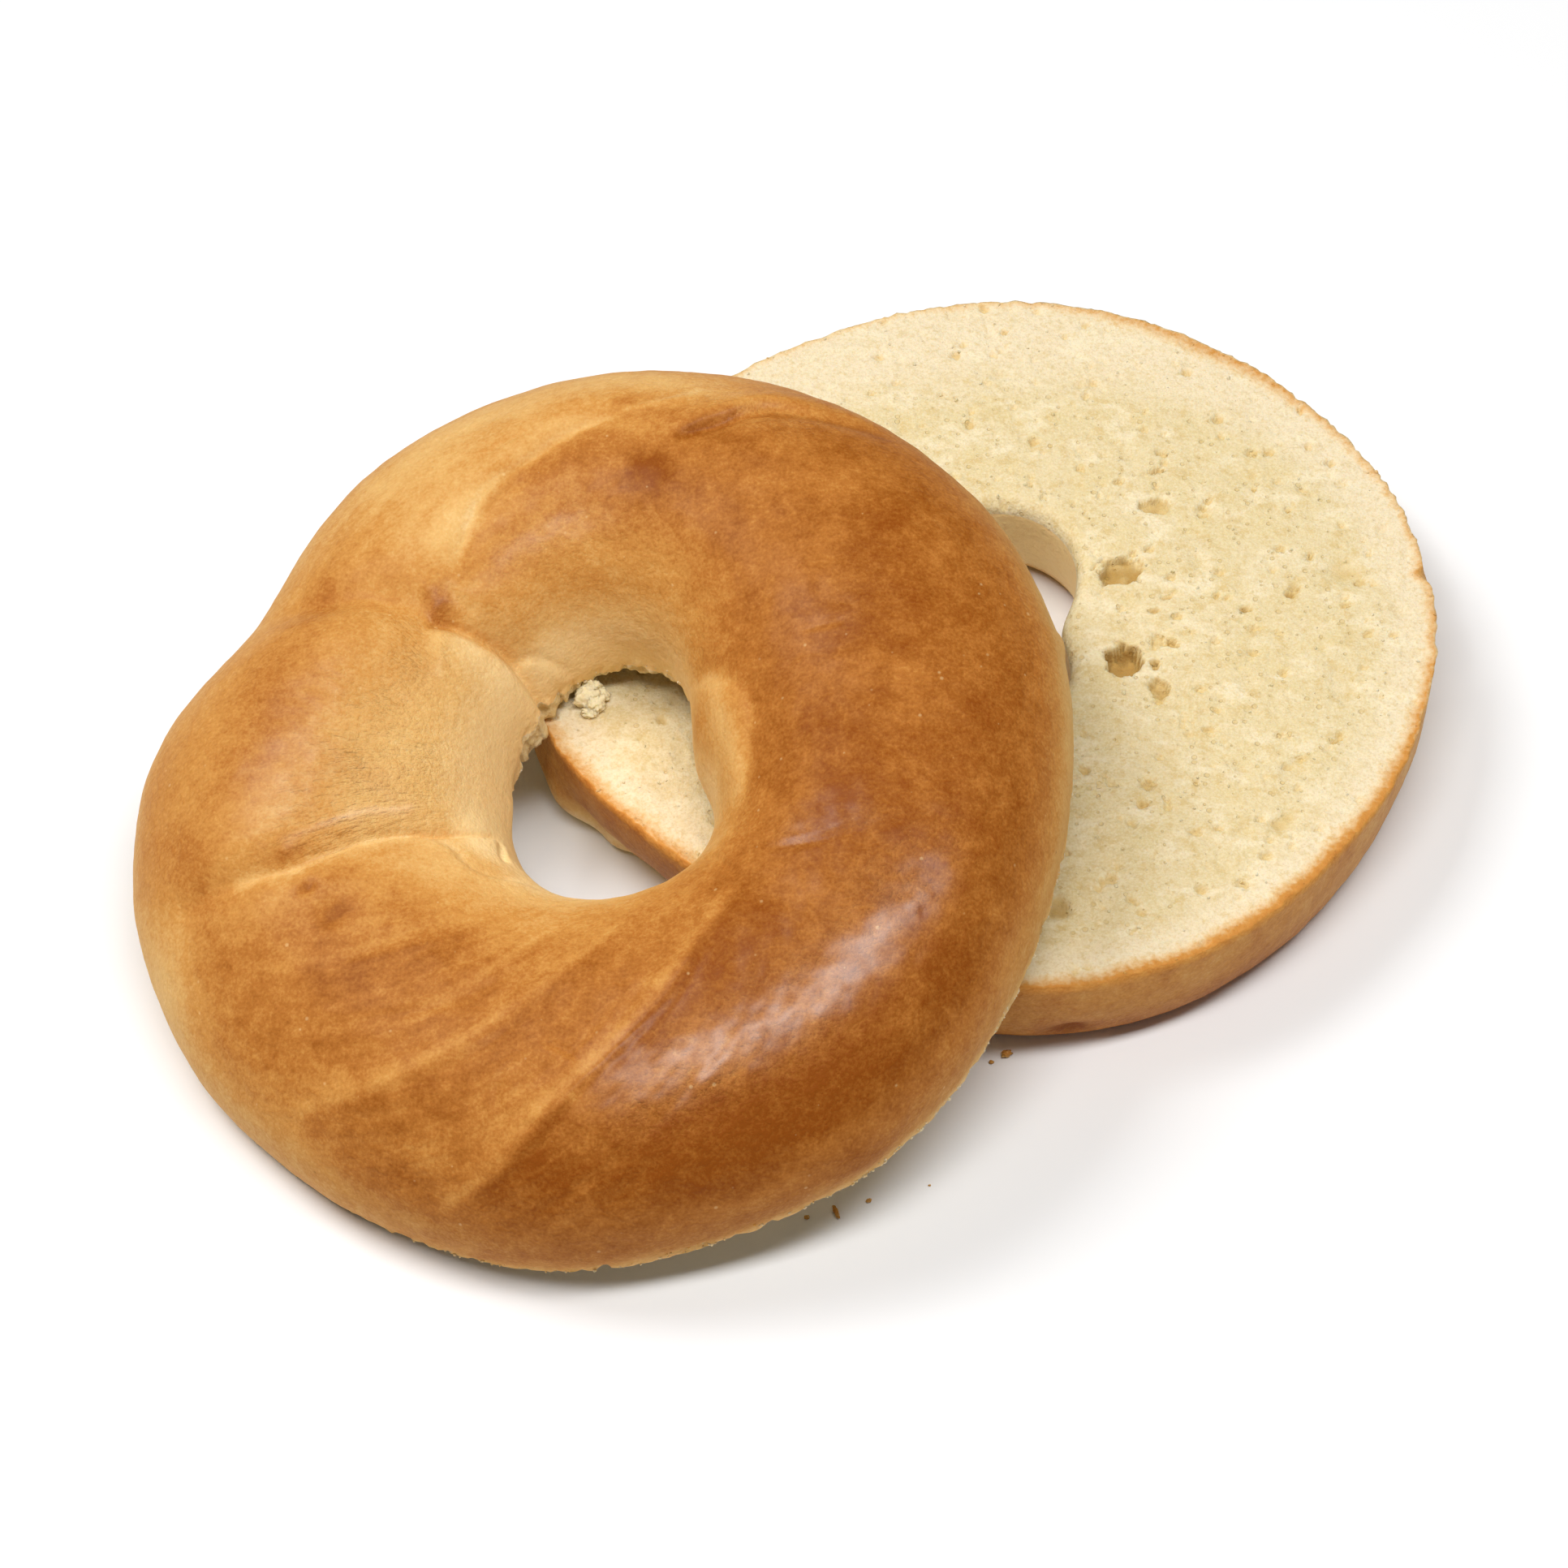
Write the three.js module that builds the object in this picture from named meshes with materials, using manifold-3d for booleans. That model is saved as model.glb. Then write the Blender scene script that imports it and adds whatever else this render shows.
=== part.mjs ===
// A plain bagel cut across into two halves. The bottom half lies flat with its cut face up,
// and the top half leans on it, dome up, with its lower rim on the table.
// Millimetres and degrees, +Z up. The origin is the middle of the footprint, on the table.

import * as THREE from 'three';
import { mergeVertices } from 'three/addons/utils/BufferGeometryUtils.js';
import Module from 'manifold-3d';

const wasm = await Module();
wasm.setup();

// An outline round the ring: a mean radius, swells of [crests per turn, height, angle of a crest], and
// dents of [angle, depth, spread]. The top half's rim is dented beside its lapped strand and at the front.
const TOP_RIM = {
  mean: 56.9,
  swells: [[1, 2.5, -17], [2, 2.0, 77], [3, 0.7, -56], [4, 0.8, 17]],
  dents: [[147, 3.5, 14.5], [286, 2.1, 18]],
};
const TOP_HOLE = { mean: 15, swells: [[1, 2.9, 40], [2, 2.3, -84], [3, 1.6, -45], [4, 0.7, -20]] };
const BOTTOM_RIM = { mean: 55.8, swells: [[1, 0.7, 76], [2, 0.3, 27], [3, 1.7, 54], [4, 1.0, 1]] };
const BOTTOM_HOLE = { mean: 14.2, swells: [[1, 3.7, 108], [2, 2.0, -85], [3, 2.0, -51]] };

// Top half: a domed ring over a flat cut face.
const TOP_HEIGHT = 20.4;
const TOP_FULLNESS = 2.3;
const TOP_RIM_BULGE = 1.5;
const TOP_HOLE_BULGE = 0.7;

// Bottom half: a low ring on a flat baked base, whose walls draw in under it.
const BOTTOM_HEIGHT = 15;
const BOTTOM_FULLNESS = 2.2;
const BOTTOM_TUCK = { mean: 5.2, swells: [[2, 1.6, -105]] };
const HOLE_TUCK = 5.2;
const HOLE_LIP = 2;

// How the halves lie: their ring centres, seen from above, and the lean of the top half, whose cut
// face rises towards UPHILL and clears the bottom half's rim by 0.3 where it rests on it.
const BOTTOM_CENTRE = [23.8, 16.8];
const TOP_CENTRE = [-23.3, -14.4];
const LEAN = 14.7;
const UPHILL = 40;

// Folds in the top crust, left where the dough was rolled, twisted and lapped over itself.
// A path goes by [angle, way over the crust from the rim 0 to the hole 1]. groove is the depth (a ridge
// where negative), width the half width, and lift raises one side, the left one where it is positive,
// fading out over reach.
const FOLDS = [
  { path: [[117, 0.99], [116, 0.83], [126, 0.68], [134, 0.53], [143, 0.38], [148, 0.18]],
    groove: 1.3, width: 3, lift: 0.9, reach: 12 },
  { path: [[197, 0.12], [200, 0.33], [204, 0.5], [208, 0.64], [219, 0.76], [243, 0.82]],
    groove: 1.1, width: 2.8, lift: 0.9, reach: 12 },
  { path: [[252, 0.14], [261, 0.27], [271, 0.41], [285, 0.5], [305, 0.62], [318, 0.64]],
    groove: -0.5, width: 2.4, lift: -0.5, reach: 9 },
  { path: [[231, 0.21], [241, 0.32], [253, 0.46], [267, 0.56], [279, 0.67]],
    groove: -0.4, width: 2.2, lift: -0.4, reach: 7 },
  { path: [[77, 0.39], [86, 0.44], [98, 0.5], [111, 0.55], [119, 0.62]],
    groove: 0.4, width: 2, lift: -0.6, reach: 9 },
  { path: [[45, 0.19], [53, 0.25], [60, 0.32], [66, 0.41], [71, 0.47]],
    groove: 0.6, width: 2, lift: -0.5, reach: 5 },
  { path: [[333, 0.74], [354, 0.71], [14, 0.69], [32, 0.78], [46, 0.91]],
    groove: 0.2, width: 2, lift: 0.6, reach: 6 },
];
const FOLD_SAMPLES = 24;
const FOLD_END = 0.25;
const FOLD_MARGIN = 4;

// The lapped strand end stands up as a swelling between the first two folds.
const STRAND_ANGLE = 172;
const STRAND_SPREAD = 24;
const STRAND_HEIGHT = 1.8;

// Pores in the bottom half's cut face: [angle, distance out, half length, half width, depth, turn].
const PORES = [
  [-19, 17.6, 3.2, 2.4, 4.5, 80],
  [29, 19.2, 3.0, 2.6, 2.6, 20],
  [-13, 44.4, 4.2, 2.8, 1.2, 100],
  [12, 45.7, 4.0, 3.0, 1.6, -30],
  [43, 29.8, 2.2, 1.7, 2.0, 0],
  [35, 34.4, 1.9, 1.7, 1.0, 30],
  [-81, 45, 2.8, 2.2, 2.2, 90],
  [-42, 46.6, 3.0, 1.5, 1.8, 45],
  [-26, 23.2, 2.0, 1.4, 2.2, 90],
  [-7, 21, 1.6, 1.0, 1.8, 60],
  [86, 43.6, 2.2, 1.2, 1.0, 0],
  [73, 43.8, 2.0, 1.1, 1.0, 10],
  [22, 28.7, 1.8, 1.4, 0.9, 80],
  [-54, 31.7, 1.2, 1.0, 1.4, 0],
];
const BIG_PORE = 2.5;

// Fineness: steps round each ring and along each stretch of its section.
const TOP_AROUND = 144;
const TOP_OVER = 26;
const BOTTOM_AROUND = 108;
const BOTTOM_WALL = 8;
const BOTTOM_LIP = 3;

const CRUST_COLOUR = 0xb9763c;
const CRUMB_COLOUR = 0xecd9a8;

const rad = THREE.MathUtils.degToRad;

function outline({ mean, swells, dents = [] }, angle) {
  const swell = ([count, height, crest]) => height * Math.cos(count * rad(angle - crest));
  const dent = ([middle, depth, spread]) => -depth * Math.exp(-(((angle - middle) / spread) ** 2));
  return [...swells.map(swell), ...dents.map(dent)].reduce((sum, move) => sum + move, mean);
}

function ringPoint(radius, angle, z) {
  return new THREE.Vector3(radius * Math.cos(rad(angle)), radius * Math.sin(rad(angle)), z);
}

function rounded(value, fullness) {
  return Math.sign(value) * Math.abs(value) ** (2 / fullness);
}

// The top crust before its folds: over runs from the rim, 0, across the dome to the hole, 1.
function dome(angle, over) {
  const rim = outline(TOP_RIM, angle);
  const hole = outline(TOP_HOLE, angle);
  const side = Math.cos(Math.PI * over);
  const height = rounded(Math.sin(Math.PI * over), TOP_FULLNESS);
  const bulge = Math.sin(Math.PI * Math.min(height, 1)) * side;
  const out = bulge > 0 ? TOP_RIM_BULGE * bulge : TOP_HOLE_BULGE * bulge;
  const radius = (rim + hole) / 2 + ((rim - hole) / 2) * rounded(side, TOP_FULLNESS) + out;
  return ringPoint(radius, angle, TOP_HEIGHT * height);
}

function domeNormal(angle, over) {
  const step = 0.01;
  const low = Math.max(over - step, step / 2);
  const high = Math.min(over + step, 1 - step / 2);
  const along = dome(angle, high).sub(dome(angle, low));
  const around = dome(angle + 1, over).sub(dome(angle - 1, over));
  return around.cross(along).normalize();
}

function foldLine({ path }) {
  const angles = path.map(([angle], i) => (i > 0 && angle < path[0][0] - 180 ? angle + 360 : angle));
  const curve = new THREE.CatmullRomCurve3(path.map(([, over], i) => new THREE.Vector3(angles[i] / 90, over, 0)));
  return curve.getPoints(FOLD_SAMPLES).map(({ x, y }) => dome(x * 90, y));
}

const foldLines = FOLDS.map(foldLine);

// How far one fold moves the crust out at a point with this normal. It fades out at both its ends.
function foldHeight(fold, line, point, normal) {
  let nearest = Infinity;
  let along = 0;
  let side = 1;
  for (let i = 1; i < line.length; i += 1) {
    const stretch = new THREE.Line3(line[i - 1], line[i]);
    const part = stretch.closestPointToPointParameter(point, true);
    const away = point.clone().sub(stretch.at(part, new THREE.Vector3()));
    if (away.length() < nearest) {
      nearest = away.length();
      along = (i - 1 + part) / (line.length - 1);
      side = Math.sign(stretch.delta(new THREE.Vector3()).cross(away).dot(normal));
    }
  }
  const groove = -fold.groove * Math.exp(-((nearest / fold.width) ** 2));
  const rise = Math.exp(-((nearest / fold.reach) ** 2)) * Math.tanh(nearest / fold.width);
  const lift = side === Math.sign(fold.lift) ? Math.abs(fold.lift) * rise : 0;
  const { smoothstep } = THREE.MathUtils;
  return (groove + lift) * smoothstep(along, 0, FOLD_END) * smoothstep(1 - along, 0, FOLD_END);
}

// The finished top crust: the dome with its strand and folds, which fade out at both cut edges.
function topCrust(angle, over) {
  const point = dome(angle, over);
  if (over === 0 || over === 1) return point;
  const normal = domeNormal(angle, over);
  const fade = THREE.MathUtils.smoothstep(point.z, 0, FOLD_MARGIN);
  const strand = STRAND_HEIGHT * Math.exp(-(((angle - STRAND_ANGLE) / STRAND_SPREAD) ** 2));
  const moves = FOLDS.map((fold, i) => foldHeight(fold, foldLines[i], point, normal));
  return point.addScaledVector(normal, fade * moves.reduce((sum, move) => sum + move, strand));
}

// The bottom half's section at an angle, from the cut edge down the outer wall, along the base,
// up the hole's wall and over its soft lip to the cut face.
function bottomSection(angle) {
  const rim = outline(BOTTOM_RIM, angle);
  const hole = outline(BOTTOM_HOLE, angle);
  const tuck = outline(BOTTOM_TUCK, angle);
  const neck = BOTTOM_HEIGHT - HOLE_LIP;
  const points = [];
  for (let i = 0; i <= BOTTOM_WALL; i += 1) {
    const turn = ((i / BOTTOM_WALL) * Math.PI) / 2;
    const inward = tuck * (1 - rounded(Math.cos(turn), BOTTOM_FULLNESS));
    points.push(ringPoint(rim - inward, angle, BOTTOM_HEIGHT * (1 - rounded(Math.sin(turn), BOTTOM_FULLNESS))));
  }
  for (let i = BOTTOM_WALL; i > 0; i -= 1) {
    const turn = ((i / BOTTOM_WALL) * Math.PI) / 2;
    const outward = HOLE_TUCK * (1 - rounded(Math.cos(turn), BOTTOM_FULLNESS));
    points.push(ringPoint(hole + outward, angle, neck * (1 - rounded(Math.sin(turn), BOTTOM_FULLNESS))));
  }
  for (let i = 0; i <= BOTTOM_LIP; i += 1) {
    const turn = ((i / BOTTOM_LIP) * Math.PI) / 2;
    points.push(ringPoint(hole + HOLE_LIP * (1 - Math.cos(turn)), angle, neck + HOLE_LIP * Math.sin(turn)));
  }
  return points;
}

// A closed ring through sections of equal length, one for each step round, counted towards the hole.
function ringGeometry(sections) {
  const around = sections.length;
  const steps = sections[0].length;
  const index = [];
  for (let i = 0; i < around; i += 1) {
    for (let k = 0; k < steps; k += 1) {
      const a = i * steps + k;
      const b = i * steps + ((k + 1) % steps);
      const c = ((i + 1) % around) * steps + k;
      const d = ((i + 1) % around) * steps + ((k + 1) % steps);
      index.push(a, b, c, b, d, c);
    }
  }
  const geometry = new THREE.BufferGeometry().setFromPoints(sections.flat());
  geometry.setIndex(index);
  return geometry;
}

function toSolid(geometry) {
  geometry.deleteAttribute('normal');
  geometry.deleteAttribute('uv');
  const merged = mergeVertices(geometry);
  const vertProperties = new Float32Array(merged.attributes.position.array);
  const triVerts = new Uint32Array(merged.index.array);
  return new wasm.Manifold(new wasm.Mesh({ numProp: 3, vertProperties, triVerts }));
}

function toGeometry(solid) {
  const { vertProperties, triVerts } = solid.getMesh();
  const geometry = new THREE.BufferGeometry();
  geometry.setAttribute('position', new THREE.BufferAttribute(vertProperties, 3));
  geometry.setIndex(new THREE.BufferAttribute(triVerts, 1));
  geometry.computeVertexNormals();
  return geometry;
}

function pore([angle, out, halfLength, halfWidth, depth, turn]) {
  const detail = halfLength > BIG_PORE ? 2 : 1;
  const hollow = new THREE.IcosahedronGeometry(1, detail);
  hollow.scale(halfLength, halfWidth, depth);
  hollow.rotateZ(rad(turn));
  const centre = ringPoint(out, angle, BOTTOM_HEIGHT);
  hollow.translate(centre.x, centre.y, centre.z);
  return toSolid(hollow);
}

function makeTopHalf() {
  const sections = [];
  for (let i = 0; i < TOP_AROUND; i += 1) {
    const angle = (360 * i) / TOP_AROUND;
    const overs = Array.from({ length: TOP_OVER + 1 }, (_, k) => k / TOP_OVER);
    // Reversed, so that both halves count their section the same way round.
    sections.push(overs.map((over) => topCrust(angle, over)).reverse());
  }
  const geometry = toGeometry(toSolid(ringGeometry(sections)));
  const material = new THREE.MeshStandardMaterial({ color: CRUST_COLOUR, roughness: 0.45, metalness: 0 });
  const mesh = new THREE.Mesh(geometry, material);
  mesh.name = 'top_half';
  const hinge = new THREE.Vector3(-Math.sin(rad(UPHILL)), Math.cos(rad(UPHILL)), 0);
  mesh.setRotationFromAxisAngle(hinge, -rad(LEAN));
  mesh.position.set(...TOP_CENTRE, 0);
  const lowest = new THREE.Box3().setFromObject(mesh, true).min.z;
  mesh.position.z = -lowest;
  return mesh;
}

function makeBottomHalf() {
  const sections = [];
  for (let i = 0; i < BOTTOM_AROUND; i += 1) {
    sections.push(bottomSection((360 * i) / BOTTOM_AROUND));
  }
  const pored = PORES.reduce((solid, place) => solid.subtract(pore(place)), toSolid(ringGeometry(sections)));
  const material = new THREE.MeshStandardMaterial({ color: CRUMB_COLOUR, roughness: 0.9, metalness: 0 });
  const mesh = new THREE.Mesh(toGeometry(pored), material);
  mesh.name = 'bottom_half';
  mesh.position.set(...BOTTOM_CENTRE, 0);
  return mesh;
}

const halves = new THREE.Group();
halves.add(makeBottomHalf(), makeTopHalf());
const middle = new THREE.Box3().setFromObject(halves, true).getCenter(new THREE.Vector3());
halves.position.set(-middle.x, -middle.y, 0);

export default halves;
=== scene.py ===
"""A plain bagel cut across, with its glazed crust, its porous crumb and the bits that the knife left.

Lengths that describe the bread are in millimetres and angles in degrees, as in the part's own source.
Everything else is in metres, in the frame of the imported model.
"""

import itertools
import math

import bmesh
import bpy
import numpy as np
from mathutils import Matrix, Vector


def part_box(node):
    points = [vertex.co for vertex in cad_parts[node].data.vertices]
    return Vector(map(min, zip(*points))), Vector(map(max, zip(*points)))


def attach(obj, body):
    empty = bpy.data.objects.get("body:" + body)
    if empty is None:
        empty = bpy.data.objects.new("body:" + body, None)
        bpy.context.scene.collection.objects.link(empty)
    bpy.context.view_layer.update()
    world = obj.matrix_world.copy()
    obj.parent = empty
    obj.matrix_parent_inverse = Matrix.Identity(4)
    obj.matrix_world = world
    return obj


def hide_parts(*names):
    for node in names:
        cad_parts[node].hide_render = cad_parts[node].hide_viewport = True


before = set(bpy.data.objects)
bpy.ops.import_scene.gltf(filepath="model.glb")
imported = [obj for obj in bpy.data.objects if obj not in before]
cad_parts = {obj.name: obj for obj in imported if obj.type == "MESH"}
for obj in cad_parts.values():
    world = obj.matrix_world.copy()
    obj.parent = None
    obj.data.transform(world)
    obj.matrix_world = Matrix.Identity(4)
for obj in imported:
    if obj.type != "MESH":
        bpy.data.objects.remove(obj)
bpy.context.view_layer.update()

bl_info = {
    "name": "Sliced bagel",
    "version": (1, 0, 0),
    "blender": (4, 5, 0),
    "location": "View3D > Sidebar > Bagel",
    "description": "Makes the two halves of a cut bagel, their loose crumbs and the stage they lie on",
    "category": "Add Mesh",
}

MM = 0.001

# ---- The shapes, by the same named sizes as the part's solids ----

TOP_RIM = {
    "mean": 56.9,
    "swells": [(1, 2.5, -17), (2, 2.0, 77), (3, 0.7, -56), (4, 0.8, 17)],
    "dents": [(147, 3.5, 14.5), (286, 2.1, 18)],
}
TOP_HOLE = {"mean": 15.0, "swells": [(1, 2.9, 40), (2, 2.3, -84), (3, 1.6, -45), (4, 0.7, -20)]}
BOTTOM_RIM = {"mean": 55.8, "swells": [(1, 0.7, 76), (2, 0.3, 27), (3, 1.7, 54), (4, 1.0, 1)]}
BOTTOM_HOLE = {"mean": 14.2, "swells": [(1, 3.7, 108), (2, 2.0, -85), (3, 2.0, -51)]}

TOP_HEIGHT = 20.4
TOP_FULLNESS = 2.3
TOP_RIM_BULGE = 1.5
TOP_HOLE_BULGE = 0.7
BOTTOM_HEIGHT = 15.0
BOTTOM_FULLNESS = 2.2
BOTTOM_TUCK = {"mean": 5.2, "swells": [(2, 1.6, -105)]}
HOLE_TUCK = 5.2
HOLE_LIP = 2.0
LEAN = 14.7
UPHILL = 40

# Folds of the top crust: path of [angle, way over the crust], groove, width, lift and reach.
FOLDS = [
    ([(117, 0.99), (116, 0.83), (126, 0.68), (134, 0.53), (143, 0.38), (148, 0.18)], 1.3, 3, 0.9, 12),
    ([(197, 0.12), (199, 0.35), (202, 0.5), (204, 0.62), (208, 0.72), (211, 0.84)], 1.0, 2.6, 0.9, 12),
    ([(252, 0.13), (261, 0.26), (270, 0.385), (286, 0.486), (305, 0.581), (315, 0.62)],
     -0.5, 2.2, -0.5, 9),
    ([(231, 0.21), (241, 0.32), (253, 0.46), (267, 0.56), (279, 0.67)], -0.4, 2.2, -0.4, 7),
    ([(77, 0.39), (86, 0.44), (98, 0.5), (111, 0.55), (119, 0.62)], 0.4, 2, -0.6, 9),
    ([(45, 0.19), (53, 0.25), (60, 0.32), (66, 0.41), (71, 0.47)], 0.6, 2, -0.5, 5),
    ([(333, 0.74), (354, 0.71), (14, 0.69), (32, 0.78), (46, 0.91)], 0.2, 2, 0.6, 6),
]
# The part of a fold's length over which each end fades, the height over which the folds come in above the
# rim, and the points of a smoothed path.
FOLD_END = 0.25
FOLD_MARGIN = 4.0
FOLD_SAMPLES = 48

STRAND_ANGLE = 172
STRAND_SPREAD = 24
STRAND_HEIGHT = 1.8

# Pores in the bottom half's cut face: angle, distance out, half length, half width, depth and turn.
PORES = [
    (-19, 17.6, 3.2, 2.4, 4.5, 80),
    (29, 19.2, 3.0, 2.6, 2.6, 20),
    (-13, 44.4, 4.2, 2.8, 1.2, 100),
    (12, 45.7, 4.0, 3.0, 1.6, -30),
    (43, 29.8, 2.2, 1.7, 2.0, 0),
    (35, 34.4, 1.9, 1.7, 1.0, 30),
    (-81, 45, 2.8, 2.2, 2.2, 90),
    (-42, 46.6, 3.0, 1.5, 1.8, 45),
    (-26, 23.2, 2.0, 1.4, 2.2, 90),
    (-7, 21, 1.6, 1.0, 1.8, 60),
    (86, 43.6, 2.2, 1.2, 1.0, 0),
    (73, 43.8, 2.0, 1.1, 1.0, 10),
    (22, 28.7, 1.8, 1.4, 0.9, 80),
    (-54, 31.7, 1.2, 1.0, 1.4, 0),
]

# ---- Finer forms that only this dressed model has ----

# Paths of [angle, over] that a crease and a streak share.
FRONT_SEAM = [(205, 0.69), (211, 0.716), (217, 0.733), (226, 0.735), (234, 0.75), (242, 0.8), (248, 0.84)]
BACK_CRACK = [(82, 0.41), (79, 0.4), (76.5, 0.385), (73, 0.36), (70.5, 0.31)]
SEAM_FORK = [(119, 0.6), (121, 0.622), (120, 0.65), (119, 0.7)]
RIGHT_SCRATCH = [(22, 0.57), (20, 0.534), (18.8, 0.49)]
FRONT_LINE = [(222, 0.42), (228, 0.5), (236, 0.58), (246, 0.66)]

# Fine creases in the top crust, as FOLDS, and with the part of their length over which each end fades.
CREASES = [
    ([(114, 1.0), (114, 0.93), (115, 0.84), (118, 0.77), (121, 0.735), (127, 0.66), (134, 0.6)],
     0.5, 0.8, 1.3, 4.5, 0.12),
    ([(115, 0.83), (110, 0.84), (106, 0.86), (101, 0.91), (97, 0.97)], 0.22, 0.8, -0.3, 2.6, 0.2),
    ([(199, 0.36), (201, 0.44), (203, 0.5), (203, 0.58), (204, 0.65)], 0.3, 0.7, -0.3, 2.2, 0.25),
    ([(203, 0.6), (204, 0.642), (205.5, 0.682), (208, 0.723), (210, 0.77), (211, 0.83), (209, 0.9)],
     0.6, 0.55, -0.5, 2.4, 0.15),
    (FRONT_SEAM, 0.1, 0.8, -0.5, 3.2, 0.2),
    ([(211, 0.88), (217, 0.86), (224, 0.845), (232, 0.84)], 0.45, 0.5, 0.35, 1.6, 0.25),
    ([(266, 0.45), (262, 0.42), (261, 0.37), (263, 0.33)], 0.18, 0.5, 0.16, 2.0, 0.3),
    ([(267, 0.463), (269.2, 0.459), (271.5, 0.446), (274, 0.426)], 0.4, 0.35, -0.2, 1.5, 0.3),
    ([(264, 0.318), (265.4, 0.33), (267, 0.34)], 0.35, 0.3, 0, 1.0, 0.4),
    ([(313, 0.82), (317, 0.73), (316, 0.66), (315, 0.61)], 0.25, 0.45, 0.12, 2.0, 0.3),
    ([(81, 0.415), (86, 0.438), (91, 0.46), (94.5, 0.48), (100, 0.494), (106, 0.507),
      (112, 0.547), (119, 0.6)],
     0.22, 0.4, 0.12, 1.8, 0.2),
    (SEAM_FORK, 0.25, 0.7, 0.1, 2.0, 0.3),
    ([(95, 0.425), (98.2, 0.432), (101.2, 0.439), (106, 0.446)], 0.2, 0.4, 0.1, 1.8, 0.3),
    (BACK_CRACK, -0.25, 0.7, 0, 1.0, 0.3),
    ([(72, 0.472), (69.8, 0.453), (68.2, 0.432), (65.5, 0.395), (63.8, 0.358), (60.8, 0.304),
      (53, 0.25)],
     0.65, 0.75, 0.35, 3.0, 0.2),
    (RIGHT_SCRATCH, 0.12, 0.5, 0, 1.5, 0.3),
    ([(322.5, 0.635), (329, 0.534), (334, 0.486), (340.5, 0.4)], 0.14, 0.5, 0.1, 2.5, 0.3),
    ([(254, 0.52), (246, 0.48), (238, 0.43)], 0.12, 0.8, 0.1, 3.0, 0.3),
    (FRONT_LINE, 0.12, 1.0, 0.1, 3.0, 0.3),
    ([(255, 0.14), (264, 0.265), (272, 0.37), (280, 0.43), (290, 0.483), (306, 0.572), (314, 0.61)],
     0.08, 0.8, 0.25, 3.5, 0.2),
    ([(233, 0.22), (244, 0.33), (252, 0.4), (260, 0.465), (268, 0.525), (276, 0.58)],
     0.08, 0.7, 0.2, 3.0, 0.2),
]

# The share of the fine relief that is left down at the rim, and how far out the twist's lines stand.
FINE_AT_RIM = 0.25
TWIST_RELIEF = 0.14

# Uneven surfaces, from broad to fine: how much, how wide, how many layers of noise, and their seed.
CRUST_SWELLS = [(0.24, 13, 1, 3), (0.12, 5.5, 1, 4), (0.06, 2.2, 2, 5)]
CRUST_MOTTLING = [(0.07, 9, 2, 21), (0.08, 3.6, 1, 23), (0.065, 1.7, 2, 24)]
TORN_EDGE = [(0.8, 4.3, 1, 40), (0.6, 1.3, 3, 41)]
WALL_SWELLS = [(0.25, 11, 1, 51), (0.12, 4, 1, 52), (0.05, 1.6, 2, 53)]
WALL_MOTTLING = [(0.1, 9, 1, 57), (0.1, 2.6, 3, 60)]

# Small round features of the top crust: angle, over, radius, and how far out they stand.
BLISTERS = [
    (216.8, 0.5, 1.7, -0.4), (216.8, 0.5, 0.45, 0.3), (208.5, 0.493, 0.8, -0.45), (207.4, 0.486, 0.5, 0.25),
    (199.5, 0.486, 1.1, 0.3), (125.2, 0.572, 1.2, 0.35), (126, 0.612, 1.5, 0.45), (73, 0.54, 4.0, 0.3),
    (55, 0.43, 3.5, 0.25), (155, 0.5, 5.0, 0.25), (35, 0.34, 3.0, 0.2), (249, 0.16, 2.2, 0.25),
    (302, 0.07, 3.5, 0.3), (14, 0.07, 1.6, 0.4), (16, 0.09, 1.2, -0.3), (327, 0.318, 0.35, -0.15),
]

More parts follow.
